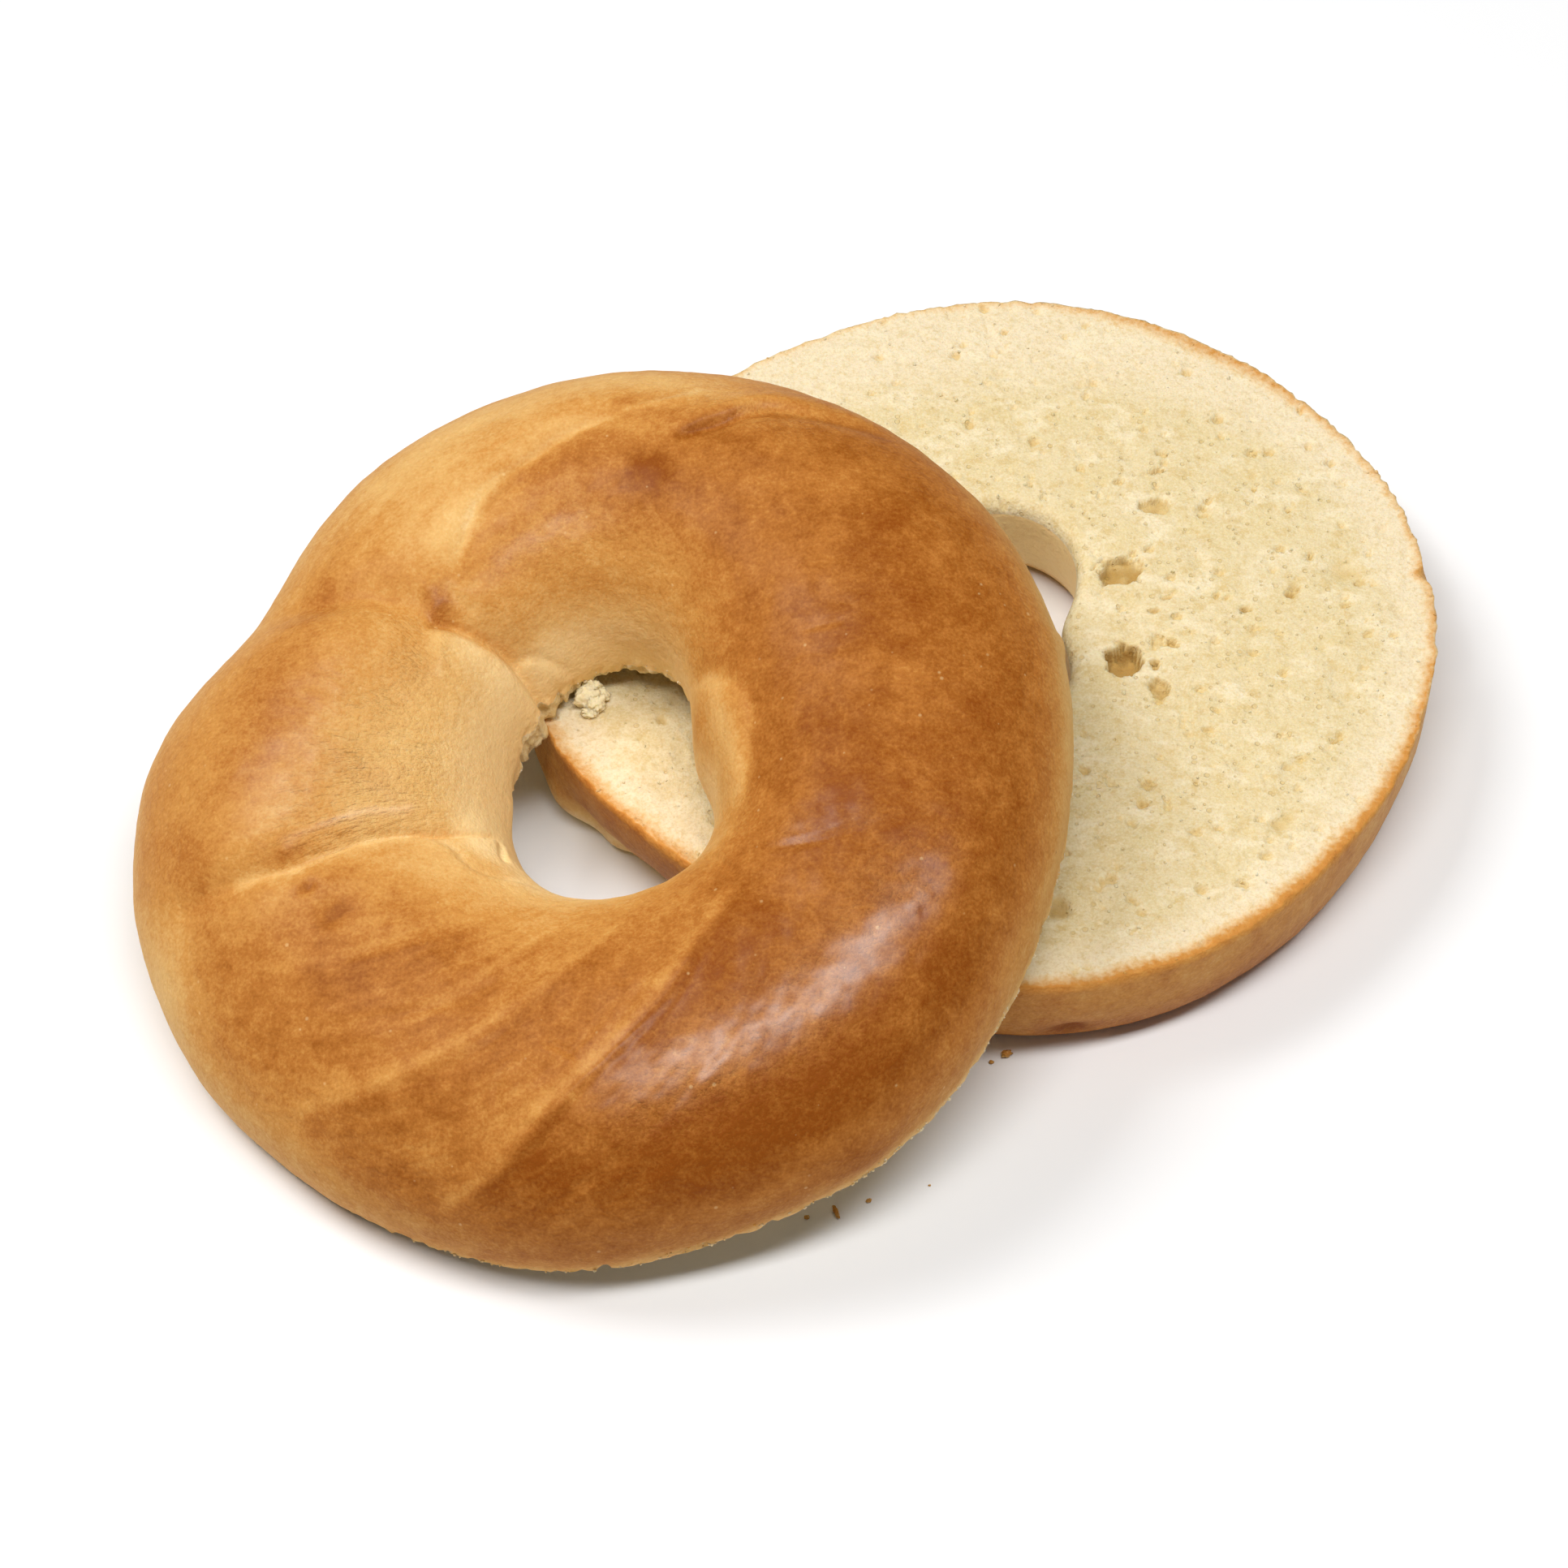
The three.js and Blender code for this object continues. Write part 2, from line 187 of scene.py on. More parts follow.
# How deep the crust is baked, from 0 pale to 1 deep brown: a level that swings round the ring, a share of
# it on the way over the crust, and zones that add to it, one of them a painted sheen: angle, over, spread in
# angle and in over, amount.
# The hole's side of the share is moved inwards by BAKE_SHARE_SHIFT at one angle, and outwards opposite it.
BAKE_LEVEL = 0.605
BAKE_SWING = 0.205
BAKE_DARKEST = -20
BAKE_SHARE = [
    (0, 0.42), (0.1, 0.62), (0.2, 0.9), (0.28, 1), (0.52, 1),
    (0.6, 0.92), (0.68, 0.76), (0.77, 0.5), (0.85, 0.17), (0.93, 0),
]
BAKE_SHARE_SHIFT = 0.05
BAKE_SHIFT_ANGLE = 20
BAKE_AND_SHEEN_ZONES = [
    (292, 0.2, 32, 0.1, 0.3),
    (268, 0.05, 40, 0.08, 0.25),
    (250, 0.22, 16, 0.09, 0.14),
    (225, 0.3, 14, 0.12, 0.14),
    (232, 0.48, 18, 0.1, 0.08),
    (22, 0.42, 16, 0.08, 0.08),
    (334, 0.52, 16, 0.07, 0.08),
    (73.5, 0.53, 5.2, 0.034, 0.5),
    (72.5, 0.575, 6, 0.035, 0.14),
    (60, 0.44, 9, 0.03, 0.14),
    (49, 0.34, 5, 0.04, 0.12),
    (86, 0.44, 9, 0.03, -0.14),
    (113, 0.42, 16, 0.12, -0.1),
    (112, 0.52, 9, 0.03, -0.16),
    (126, 0.612, 4, 0.032, 0.2),
    (162, 0.42, 15, 0.09, 0.16),
    (173, 0.475, 10, 0.05, 0.14),
    (181, 0.41, 8, 0.06, 0.08),
    (194, 0.33, 7, 0.05, 0.18),
    (199.5, 0.486, 1.8, 0.02, 0.16),
    (208.5, 0.493, 1.4, 0.014, 0.24),
    (216.8, 0.5, 2.6, 0.026, 0.24),
    (205, 0.3, 5, 0.06, 0.1),
    (214, 0.31, 6, 0.05, 0.1),
    (226, 0.45, 9, 0.05, 0.1),
    (214, 0.44, 6, 0.04, 0.08),
    (205, 0.2, 7, 0.12, -0.16),
    (228, 0.77, 12, 0.05, 0.06),
    (200, 0.8, 9, 0.08, -0.06),
    (218, 0.8, 11, 0.05, -0.16),
    (8, 0.08, 26, 0.07, -0.25),
    (35, 0.34, 4, 0.04, 0.1),
    (249, 0.16, 4, 0.04, 0.12),
    (302, 0.07, 4, 0.04, 0.16),
    (21, 0.84, 6, 0.05, 0.12),
    (2, 0.75, 26, 0.03, -0.16),
    (10, 0.77, 16, 0.045, -0.14),
    (75, 0.22, 16, 0.07, -0.1),
    (102, 0.29, 26, 0.09, -0.2),
    (74, 0.31, 14, 0.06, -0.22),
    (124, 0.7, 9, 0.08, -0.1),
    (106, 0.88, 14, 0.06, -0.16),
    (143, 0.38, 8, 0.06, 0.14),
    (327, 0.318, 0.7, 0.008, 0.6),
    (182, 0.24, 12, 0.07, 0.13),
    (131, 0.4, 8, 0.07, 0.1),
    (53, 0.56, 12, 0.06, 0.09),
    (269, 0.48, 12, 0.08, 0.12),
    (228, 0.52, 24, 0.16, 0.07),
    (83, 0.77, 12, 0.05, 0.06),
    (352, 0.84, 14, 0.05, -0.15),
    # Painted sheen: the crust is drawn paler where it shines pinkish.
    (66, 0.34, 10, 0.05, -0.04),
    (173, 0.86, 14, 0.05, 0.04),
    (15, 0.4, 10, 0.06, -0.08),
    (176, 0.63, 20, 0.1, -0.05),
    (196, 0.6, 7, 0.06, -0.12),
]

# Lines drawn out by the twist of the dough, and a few lines of painted highlight, sheen and shade that are
# marked below:
# path of [angle, over], half width, how much paler the line is, how much paler its left side is than its
# right, and how far that reaches.
STREAKS_AND_PAINTED_LIGHT = [
    ([(252, 0.128), (259, 0.23), (263, 0.29), (268.5, 0.365), (276, 0.426), (286, 0.486),
      (295, 0.534), (304.5, 0.581), (314, 0.615)],
     1.1, 0.24, 0.17, 6),
    ([(231, 0.2), (234, 0.24), (242, 0.33), (249, 0.4), (257, 0.47), (264, 0.52), (272, 0.58),
      (281, 0.64), (284, 0.67)],
     0.9, 0.2, 0.08, 5),
    ([(229, 0.35), (234, 0.4), (239, 0.46), (247, 0.5), (253, 0.55), (258, 0.59), (270, 0.71)],
     0.7, 0.14, 0.05, 3),
    ([(250, 0.33), (254, 0.38), (258, 0.39), (264, 0.44), (266, 0.45)], 0.6, 0.12, 0, 1),
    ([(199.5, 0.37), (201, 0.44), (203, 0.5), (203.4, 0.58), (204.5, 0.645), (206.5, 0.69)],
     1.1, 0.24, 0, 1),
    ([(202, 0.455), (203, 0.478), (203.6, 0.502)], 0.8, 0.25, 0, 1),
    ([(81, 0.415), (86, 0.438), (94.5, 0.48), (106, 0.507), (112, 0.547), (119, 0.6)],
     0.8, 0.2, -0.12, 7),
    (BACK_CRACK, 0.8, 0.2, 0, 1),
    (SEAM_FORK, 0.9, 0.12, 0, 1),
    ([(64, 0.37), (60, 0.33), (53, 0.26), (45, 0.2)], 0.7, -0.2, 0, 1),
    ([(72, 0.472), (69.8, 0.453), (68.2, 0.432), (65.5, 0.395), (63.8, 0.358)], 1.0, -0.3, 0, 1),
    # Partly painted highlight: the scratch's paler line stands in part for its whitish glints.
    (RIGHT_SCRATCH, 0.6, 0.12, 0, 1),
    # Painted sheen: a paler line along the second shiny band.
    ([(324, 0.625), (331, 0.545), (336, 0.49), (341.5, 0.4)], 1.6, 0.08, 0, 1),
    (FRONT_LINE, 1.0, 0.08, 0.04, 4),
    ([(193, 0.44), (190.5, 0.48), (187.5, 0.52)], 1.8, 0.08, 0, 1),
    ([(215, 0.36), (222, 0.45), (232, 0.54)], 0.7, 0.12, 0.06, 4),
    ([(236, 0.36), (246, 0.47), (256, 0.56)], 0.6, 0.12, 0.05, 3),
    ([(206, 0.55), (214, 0.62), (226, 0.68)], 0.8, 0.1, 0, 1),
    ([(333, 0.72), (344, 0.73), (354, 0.716), (4, 0.69), (14, 0.69), (23, 0.72), (32, 0.78),
      (43, 0.88)],
     1.3, 0.12, 0.12, 3.5),
    ([(318, 0.6), (316, 0.68), (314, 0.78), (312, 0.86)], 1.0, 0, -0.08, 5),
    # Painted highlight: the skin is drawn paler under the main shiny band.
    ([(268, 0.34), (280, 0.345), (292, 0.365), (307, 0.38), (322, 0.38), (334, 0.355)], 5.0, 0.12, 0, 1),
    # The strand's lip: its darker line is painted shade in the step; the ring's darker side is partly deeper
    # bake, partly painted shade.
    ([(114, 0.99), (114, 0.93), (115, 0.84), (118, 0.77), (121, 0.735), (127, 0.66), (134, 0.6)],
     0.7, -0.16, 0.2, 4),
    (FRONT_SEAM, 1.0, 0.1, -0.12, 3.5),
]
# The twist runs this many degrees round for each whole way over the crust.
TWIST = 132
# Millimetres along the surface for each degree round and for the whole way over.
FLOW_ROUND = 0.63
FLOW_OVER = 65
# The parts of their length over which streaks and shiny bands fade at each end.
STREAK_END = 0.1
GLOSS_END = 0.3

# Where the crust is shiny: angle, over, spread in angle, spread in over, and amount.
GLOSS_GROUND = 0.04
GLOSS_ZONES = [
    (184, 0.62, 17, 0.13, 0.75),
    (155, 0.6, 16, 0.1, 0.45),
    (88, 0.62, 22, 0.065, 0.28),
    (66, 0.34, 12, 0.06, 0.22),
    (126, 0.61, 5, 0.035, 0.12),
    (22, 0.5, 10, 0.08, 0.2),
]
# Shiny bands: path of [angle, over], half width and amount. GLOSS_SIDES has the parts of the half width that
# they reach on the left of the path and on its right.
GLOSS_SIDES = (1.25, 0.7)
GLOSS_BANDS = [
    ([(270, 0.335), (280, 0.342), (292, 0.362), (307, 0.375), (322, 0.375), (334, 0.35),
      (346, 0.33)],
     5.5, 0.8),
    ([(322, 0.625), (330, 0.555), (336, 0.49), (342, 0.4)], 2.6, 0.45),
]
# Where the skin wrinkles into ripples, laid out as GLOSS_ZONES.
RIPPLE_ZONES = [(186, 0.6, 19, 0.15, 1), (150, 0.6, 16, 0.1, 0.9)]
# Width of the pale, ragged band along the rim and along the hole, as a part of the way over.
EDGE_PALE = 0.03

# Sides of the top half, as middle and spread of their angles: its torn hole, its litter, its paler rim, the
# streaks along the twist, the strand's threads, the fine lines, the drawn-out arc and the calmer strand.
TORN_SIDE = (105, 48)
LITTER_SIDE = (-40, 80)
PALE_SIDE = (-35, 60)
TWIST_SIDE = (262, 42)
THREAD_SIDE = (180, 36)
LINE_SIDE = (245, 34)
ARC_SIDE = (112, 30)
CALM_SIDE = (170, 32)
# The baked band along the rim of its cut face: width of the face and of the band, and how deep it is baked.
UNDER_FACE = 42
UNDER_BAND = 1.6
UNDER_BAKE = 0.75

# Where the crust is torn back from the hole: angle, spread, and how far back over the crust.
HOLE_TEARS = [
    (62, 7, 0.018), (77, 7, 0.016), (90, 3, 0.014), (101, 5, 0.02),
    (109, 5, 0.03), (119, 7, 0.05), (131, 6, 0.05),
]
# The small teeth of that edge: how far back they reach, and the middle and spread of where they are large.
HOLE_TEETH = 0.021
HOLE_TEETH_ZONE = (130, 80)
# The least that the edge is torn back anywhere, and the most.
LEAST_TEAR = 0.003
MOST_TEAR = 0.12

# The crumb's smaller pores, as PORES, but with depths that are not shared out again.
SMALL_PORES = [
    (-17, 21.4, 1.2, 0.6, 1.3, 75), (-24, 22.9, 0.6, 0.6, 1.0, 0), (-28, 23.3, 0.8, 0.6, 1.0, 20),
    (-7, 22.9, 1.0, 0.7, 1.2, 120), (5, 32.2, 0.7, 0.65, 1.3, 0), (8, 38.2, 0.75, 0.65, 1.3, 0),
    (7, 21.0, 0.6, 0.55, 0.8, 0), (12, 22.9, 0.8, 0.5, 0.9, 10), (10, 29.1, 0.5, 0.5, 0.8, 0),
    (9, 30.3, 0.45, 0.4, 0.7, 0), (16, 42.4, 0.75, 0.45, 1.0, 100), (-54, 31.4, 0.95, 0.75, 0.9, 0),
    (-58, 33.8, 0.8, 0.6, 1.1, 30), (-46, 35.1, 0.4, 0.4, 0.7, 0), (-22, 27.7, 0.75, 0.7, 0.7, 0),
    (65, 29.7, 0.65, 0.6, 0.6, 0), (58, 28.4, 1.1, 0.9, 0.4, 0), (50, 34.7, 1.3, 0.5, 1.0, 15),
    (36, 34.4, 0.65, 0.6, 0.8, 0), (34, 33.6, 0.95, 0.55, 0.7, 0), (27, 43.2, 0.45, 0.4, 0.8, 0),
    (38, 40.5, 1.6, 0.8, 0.35, 30), (34, 41.5, 0.4, 0.4, 0.8, 0), (-24, 45.8, 1.0, 0.35, 0.9, 30),
    (-26, 45.2, 1.0, 0.8, 0.4, 0), (62, 33.1, 0.9, 0.8, 0.35, 0), (28, 51.8, 0.9, 0.7, 0.4, 0),
    (24, 29.0, 1.7, 1.4, 0.25, 0), (18, 37.3, 1.5, 1.1, 0.25, 20), (-6, 37.3, 2.6, 1.7, 0.25, 25),
    (-2, 45.5, 2.5, 2.0, 0.2, 0), (86, 51.8, 0.65, 0.6, 0.8, 0), (109, 42.6, 0.55, 0.5, 0.7, 0),
    (-7, 17.6, 3.4, 1.4, 0.35, 60), (8, 18.2, 2.6, 1.6, 0.3, 70), (18, 52.5, 1.1, 0.7, 0.4, 60),
]
PORE_SEED = 11
UNDER_SEED = 70
# The share of its full depth that a large pore has here, by that depth.
PORE_SHARE = [(1.6, 0.36), (2.2, 0.5), (4.5, 0.72)]
# How ragged a pore's outline is, and how softly the edges of large and of flat pores fall.
PORE_RAGGED = 0.42
PORE_SOFT = 0.28
FLAT_PORE_SOFT = 0.8
# The pores drawn from a seed: how many, smallest and largest size, how far out they reach, depth for their
# size, and how softly their edges fall. All stay outside PORE_INNER.
DRAWN_PORES = [(170, (0.9, 2.4), 55, 0.15, 0.7), (560, (0.4, 0.95), 56, 0.85, 0.4)]
PORE_INNER = 14

# Lumps and tucks of the bottom half's wall: angle, height, spread in angle and in height, and how far out.
WALL_LUMPS = [
    (-145, 1, 13, 4.8, -2.7),
    (-164, 5, 8, 5, 0.9),
    (-159.5, 3.2, 4.0, 3.0, 1.6),
    (-155, 6.0, 2.0, 1.4, -0.9),
    (-152, 1.6, 3.0, 1.8, 1.5),
    (-143, 2.0, 1.8, 1.2, 1.0),
    (-128, 2, 9, 4, -1.2),
]
# A pit in that wall, as WALL_LUMPS, and a notch in its cut edge: angle and spread.
WALL_PIT = [(-81, 4.5, 2.6, 1.6, 1)]
EDGE_NOTCH = (9, 1.3)

# Sides of the bottom half, as middle and spread of their angles. Its baking and its rind vary by them.
LOW_SIDE = (-50, 55)
LOW_WALL = (-75, 60)
HOLE_SIDE = (-150, 34)
TUCK_SIDE = (-154, 13)
FAR_SIDE = (58, 22)
TOP_SIDE = (88, 42)
# How deep its underside is baked, and how shiny its crust is.
BASE_BAKE = 0.62
BOTTOM_GLOSS = 0.12

# Fineness of the meshes: steps round and along the section.
TOP_AROUND = 505
TOP_OVER = 165
TOP_UNDER = 28
TOP_TORN = 8
BOTTOM_AROUND = 600
BOTTOM_WALL = 20
BOTTOM_BASE = 6
BOTTOM_LIP = 6
BOTTOM_FACE = 112
# Where the steps round the bottom half lie closer: middle and half width of the angles, and how much.
BOTTOM_CLOSER = [(12, 100, 2.2), (-165, 30, 1.2)]

# The torn tuft on the cut face: angle, distance out, height, radii and turn of each lump.
TUFT = [
    (-165.3, 50.8, 16.1, 1.7, 1.3, 1.4, 20),
    (-164.2, 50.1, 15.8, 1.4, 1.2, 1.2, 70),
    (-166.6, 50.3, 16.4, 1.3, 1.1, 1.2, 40),
    (-167.8, 51.1, 15.8, 1.4, 1.0, 1.1, 100),
    (-168.9, 50.4, 15.5, 1.2, 0.9, 0.9, 10),
    (-166.0, 49.2, 15.5, 1.2, 1.0, 0.9, 150),
    (-169.6, 51.8, 15.3, 1.0, 0.7, 0.6, 60),
    (-163.2, 51.0, 15.4, 1.0, 0.8, 0.6, 0),
]
# How rough a torn lump is, and the seed of its noise.
LUMP_ROUGH = 0.42
LUMP_SEED = 81
# Loose crumbs on the table: x, y, height, radii and turn.
LOOSE_CRUMBS = [
    (4.6, -61.3, 0.35, 0.9, 0.25, 0.35, 110),
    (8.4, -59.6, 0.2, 0.35, 0.25, 0.2, 30),
    (25.0, -38.5, 0.4, 0.6, 0.45, 0.4, 20),
    (23.2, -39.6, 0.2, 0.3, 0.22, 0.2, 0),
    (1.2, -62.0, 0.25, 0.3, 0.25, 0.2, 0),
    (15.5, -57.4, 0.12, 0.16, 0.12, 0.12, 0),
]

# The view: where the camera looks, from how high and how far, and its lens.
VIEW_TARGET = Vector((-1.43, 3.62, 0)) * MM
VIEW_ELEVATION = 50
VIEW_DISTANCE = 0.6
VIEW_LENS = 110.7

# The lights, looking at the same spot: width, length, direction, elevation and distance. Direction 0 is +X
# and 90 is +Y.
KEY_LIGHT = (0.55, 0.55, 158, 54, 1.3)
SOFTBOX_LIGHT = (1.0, 0.18, -72, 75, 1.0)
FLOOR_REACH = 6.0

# Odd multipliers that mix the place of a cell of noise and a seed into evenly spread bits.
CELL_KEYS = (73856093, 19349663, 83492791)
SEED_KEY = 2654435761
MIX_KEY = 0x9E3779B97F4A7C15


# ---- Settings that a user would change ----


def colour(name, description, default):
    """A colour setting, in scene-linear values."""
    return bpy.props.FloatVectorProperty(
        name=name, description=description, default=default, subtype="COLOR", size=3, min=0, max=1
    )


def setting(name, description, default, low=0, **more):
    """A number setting."""
    return bpy.props.FloatProperty(name=name, description=description, default=default, min=low, **more)


def linear(*screen):
    """A screen colour of 0 to 255 as scene-linear values."""
    parts = (value / 255 for value in screen)
    return tuple(((part + 0.055) / 1.055) ** 2.4 if part > 0.04 else part / 12.92 for part in parts)


class BagelCrust(bpy.types.PropertyGroup):
    """How the crust looks."""

    pale: colour("Pale", "Unbaked skin in the hole", linear(244, 212, 152))
    straw: colour("Straw", "Lightly baked skin", linear(224, 177, 107))
    golden: colour("Golden", "Golden skin", linear(203, 142, 69))
    amber: colour("Amber", "Orange-brown skin", linear(179, 112, 45))
    brown: colour("Brown", "Well baked skin", linear(155, 89, 26))
    deep: colour("Deep", "Darkest skin", linear(139, 71, 9))
    glaze: setting("Glaze", "Strength of the glaze", 0.8, max=1, subtype="FACTOR")


class BagelCrumb(bpy.types.PropertyGroup):
    """How the crumb looks."""

    cream: colour("Cream", "Ground colour of the crumb", linear(224, 206, 163))
    pale: colour("Pale", "Drawn-out pale strands", linear(238, 224, 190))
    rind: colour("Rind", "Firmer crumb along the rim", linear(233, 216, 182))
    yellow: colour("Yellow", "Moister patches", linear(221, 201, 150))
    ochre: colour("Ochre", "Worn patches", linear(212, 186, 130))
    # Hollow and khaki darken the pores with depth: partly the crumb's own ochre, partly painted shade.
    hollow: colour("Hollow", "Shallow pores", linear(213, 184, 122))
    khaki_and_pore_shade: colour("Khaki", "Deep inside the pores", linear(172, 134, 66))
    speck: colour("Speck", "Small dark specks", linear(130, 92, 48))
    # Fresh brightens the torn tuft: partly the torn crumb's own colour, partly painted light where it lies
    # in shade.
    fresh: colour("Fresh", "Freshly torn crumb", linear(250, 236, 192))
    bit_density: setting("Bit density", "Loose bits on each square metre of cut face", 240000)
    bit_smallest: setting("Smallest bit", "Radius of the smallest bit", 0.00012, 0.00005, unit="LENGTH")
    bit_largest: setting("Largest bit", "Radius of the largest bit", 0.00036, 0.0001, unit="LENGTH")
    flake_density: setting("Flake density", "Flakes on each square metre of the top half's edges", 1500000)
    flake_largest: setting("Largest flake", "Radius of the largest flake", 0.00042, 0.0001, unit="LENGTH")


class BagelStage(bpy.types.PropertyGroup):
    """The floor and the lights."""

    floor: colour("Floor", "Colour of the floor", (0.9, 0.9, 0.9))
    key: setting("Key", "Power of the key light", 8.6, unit="POWER")
    softbox: setting("Softbox", "Power of the front softbox", 8.8, unit="POWER")
    room: setting("Room", "Strength of the light from all round", 0.1)


# ---- Numbers: outlines, smooth steps and noise ----


def direction(angle):
    """Cosine and sine of an angle in degrees."""
    return math.cos(math.radians(angle)), math.sin(math.radians(angle))


def bell(value, power=2):
    """1 where the value is 0, fading to 0 on both sides."""
    return np.exp(-(value**power))


def outline(spec, angle):
    """Radius at each angle: the mean, the swells and the dents."""
    radius = np.full(np.shape(angle), spec["mean"], float)
    for count, height, crest in spec["swells"]:
        radius += height * np.cos(count * np.radians(angle - crest))
    for middle, depth, spread in spec.get("dents", ()):
        radius -= depth * bell((angle - middle) / spread)
    return radius


def rounded(value, fullness):
    return np.sign(value) * np.abs(value) ** (2 / fullness)


def smooth(value, low, high):
    """Smooth step from 0 at low to 1 at high."""
    t = np.clip((value - low) / (high - low), 0, 1)
    return t * t * (3 - 2 * t)


def turn_between(angle, other):
    """Signed difference of two angles, from -180 to 180."""
    return (angle - other + 180) % 360 - 180


def near(angle, middle, spread, power=2):
    """1 at the middle angle, fading to 0 on both sides."""
    return bell(turn_between(angle, middle) / spread, power)


def zone(angle, middle, spread, way, at, reach, power=2):
    """1 at one spot, fading to 0 all round it, by the angle and by the way over or up the section."""
    return np.exp(-((turn_between(angle, middle) / spread) ** power) - ((way - at) / reach) ** power)


def faded(value, along, end):
    """A value on a path, fading at both its ends. along runs from 0 to 1, and end is a part of it."""
    return value * smooth(along, 0, end) * smooth(1 - along, 0, end)


def with_zones(value, angle, way, zones, power=2):
    """A value with zones added: angle, way over or up, spread in angle, spread in that way, and amount."""
    for middle, at, spread, reach, amount in zones:
        value = value + amount * zone(angle, middle, spread, way, at, reach, power)
    return value


def flat_points(x, y, height=0.0):
    """Points at these places, broadcast together."""
    return np.stack(np.broadcast_arrays(x, y, height), -1)


def noise(points, size, seed):
    """Smooth noise from about -1 to 1, with swells about size wide."""
    place = points / size
    cell = np.floor(place).astype(np.int64)
    part = place - cell
    ease = part**3 * (part * (part * 6 - 15) + 10)
    total = np.zeros(points.shape[:-1])
    for corner in itertools.product((0, 1), repeat=3):
        spot = (cell + corner).astype(np.uint64) * np.array(CELL_KEYS, np.uint64)
        key = spot[..., 0] ^ spot[..., 1] ^ spot[..., 2] ^ np.uint64(seed * SEED_KEY + 97)
        key ^= key >> np.uint64(13)
        key *= np.uint64(MIX_KEY)
        away = part - corner
        climb = 0
        for axis, shift in enumerate((8, 26, 44)):
            bits = (key >> np.uint64(shift)) & np.uint64(0xFFFF)
            climb = climb + (bits.astype(float) / 32767.5 - 1) * away[..., axis]
        total += np.prod(np.where(corner, ease, 1 - ease), axis=-1) * climb
    return total * 1.4


def rough(points, size, layers, seed):
    """Layers of noise, each half as wide and half as strong as the one before."""
    return sum(noise(points, size / 2**i, seed + i) / 2**i for i in range(layers))


def uneven(points, table):
    """Noise from a table with rows of amount, size, layers and seed."""
    return sum(amount * rough(points, size, layers, seed) for amount, size, layers, seed in table)


# ---- Ring shapes ----


def ring_points(radius, angle, height):
    """Points at these radii, angles and heights, broadcast together."""
    radius, angle, height = np.broadcast_arrays(radius, np.radians(angle), height)
    return np.stack([radius * np.cos(angle), radius * np.sin(angle), height], -1)


def dome(angle, over):
    """The top crust before its folds. over runs from the rim, 0, across the dome to the hole, 1."""
    rim = outline(TOP_RIM, angle % 360)
    hole = outline(TOP_HOLE, angle % 360)
    side = np.cos(np.pi * over)
    height = rounded(np.sin(np.pi * over), TOP_FULLNESS)
    bulge = np.sin(np.pi * np.minimum(height, 1)) * side
    out = np.where(bulge > 0, TOP_RIM_BULGE * bulge, TOP_HOLE_BULGE * bulge)
    radius = (rim + hole) / 2 + (rim - hole) / 2 * rounded(side, TOP_FULLNESS) + out
    return ring_points(radius, angle, TOP_HEIGHT * height)


def grid_normals(points):
    """Outward normals of a grid of points, closed round its first axis and running inwards on its second."""
    around = np.roll(points, -1, 0) - np.roll(points, 1, 0)
    along = np.gradient(points, axis=1)
    normal = np.cross(around, along)
    return normal / (np.linalg.norm(normal, axis=-1, keepdims=True) + 1e-12)


def smooth_path(path):
    """Points on the crust along a path of [angle, over], smoothed."""
    knots = np.array(path, float)
    knots[:, 0] = np.degrees(np.unwrap(np.radians(knots[:, 0])))
    padded = np.vstack([2 * knots[0] - knots[1], knots, 2 * knots[-1] - knots[-2]])
    line = []
    for t in np.linspace(0, len(knots) - 1, FOLD_SAMPLES):
        i = min(int(t), len(knots) - 2)
        u = t - i
        a, b, c, d = padded[i : i + 4]
        second = 2 * a - 5 * b + 4 * c - d
        third = 3 * b - a - 3 * c + d
        line.append(0.5 * (2 * b + (c - a) * u + second * u**2 + third * u**3))
    line = np.array(line)
    return dome(line[:, 0], np.clip(line[:, 1], 0, 1))


def path_distance(points, normals, path, reach):
    """Distance of points from a path on the crust, how far along it they are, and on which side of it.

    Points far outside its reach are left out.
    """
    line = smooth_path(path)
    close = ((points > line.min(0) - 4 * reach) & (points < line.max(0) + 4 * reach)).all(-1)
    spread = [np.full(points.shape[:-1], 1e6), np.zeros(points.shape[:-1]), np.zeros(points.shape[:-1])]
    for whole, part in zip(spread, distance_from(points[close], normals[close], line)):
        whole[close] = part
    return spread


def distance_from(points, normals, line):
    """Distance from a line of points, the part of the line passed, and the side, above 0 on the left."""
    nearest = np.full(len(points), np.inf)
    along = np.zeros(len(points))
    side = np.zeros(len(points))
    for i in range(1, len(line)):
        start, step = line[i - 1], line[i] - line[i - 1]
        part = np.clip((points - start) @ step / (step @ step), 0, 1)
        away = points - start - part[..., None] * step
        distance = np.linalg.norm(away, axis=-1)
        closer = distance < nearest
        nearest = np.where(closer, distance, nearest)
        along = np.where(closer, (i - 1 + part) / (len(line) - 1), along)
        left = (np.cross(step, away) * normals).sum(-1)
        side = np.where(closer, left, side)
    return nearest, along, side


def fold_height(points, normals, path, groove, width, lift, reach, end=FOLD_END):
    """How far one fold moves the crust out. It fades out at both its ends."""
    nearest, along, side = path_distance(points, normals, path, max(width, reach))
    down = -groove * bell(nearest / width)
    up = abs(lift) * bell(nearest / reach) * np.tanh(nearest / width)
    up = np.where(np.sign(side) == np.sign(lift), up, 0)
    return faded(down + up, along, end)


def lean_over(points):
    """Turns the top half's points to its lean, rising towards UPHILL."""
    uphill_x, uphill_y = direction(UPHILL)
    turn = Matrix.Rotation(-math.radians(LEAN), 3, Vector((-uphill_y, uphill_x, 0)))
    return points @ np.array(turn).T


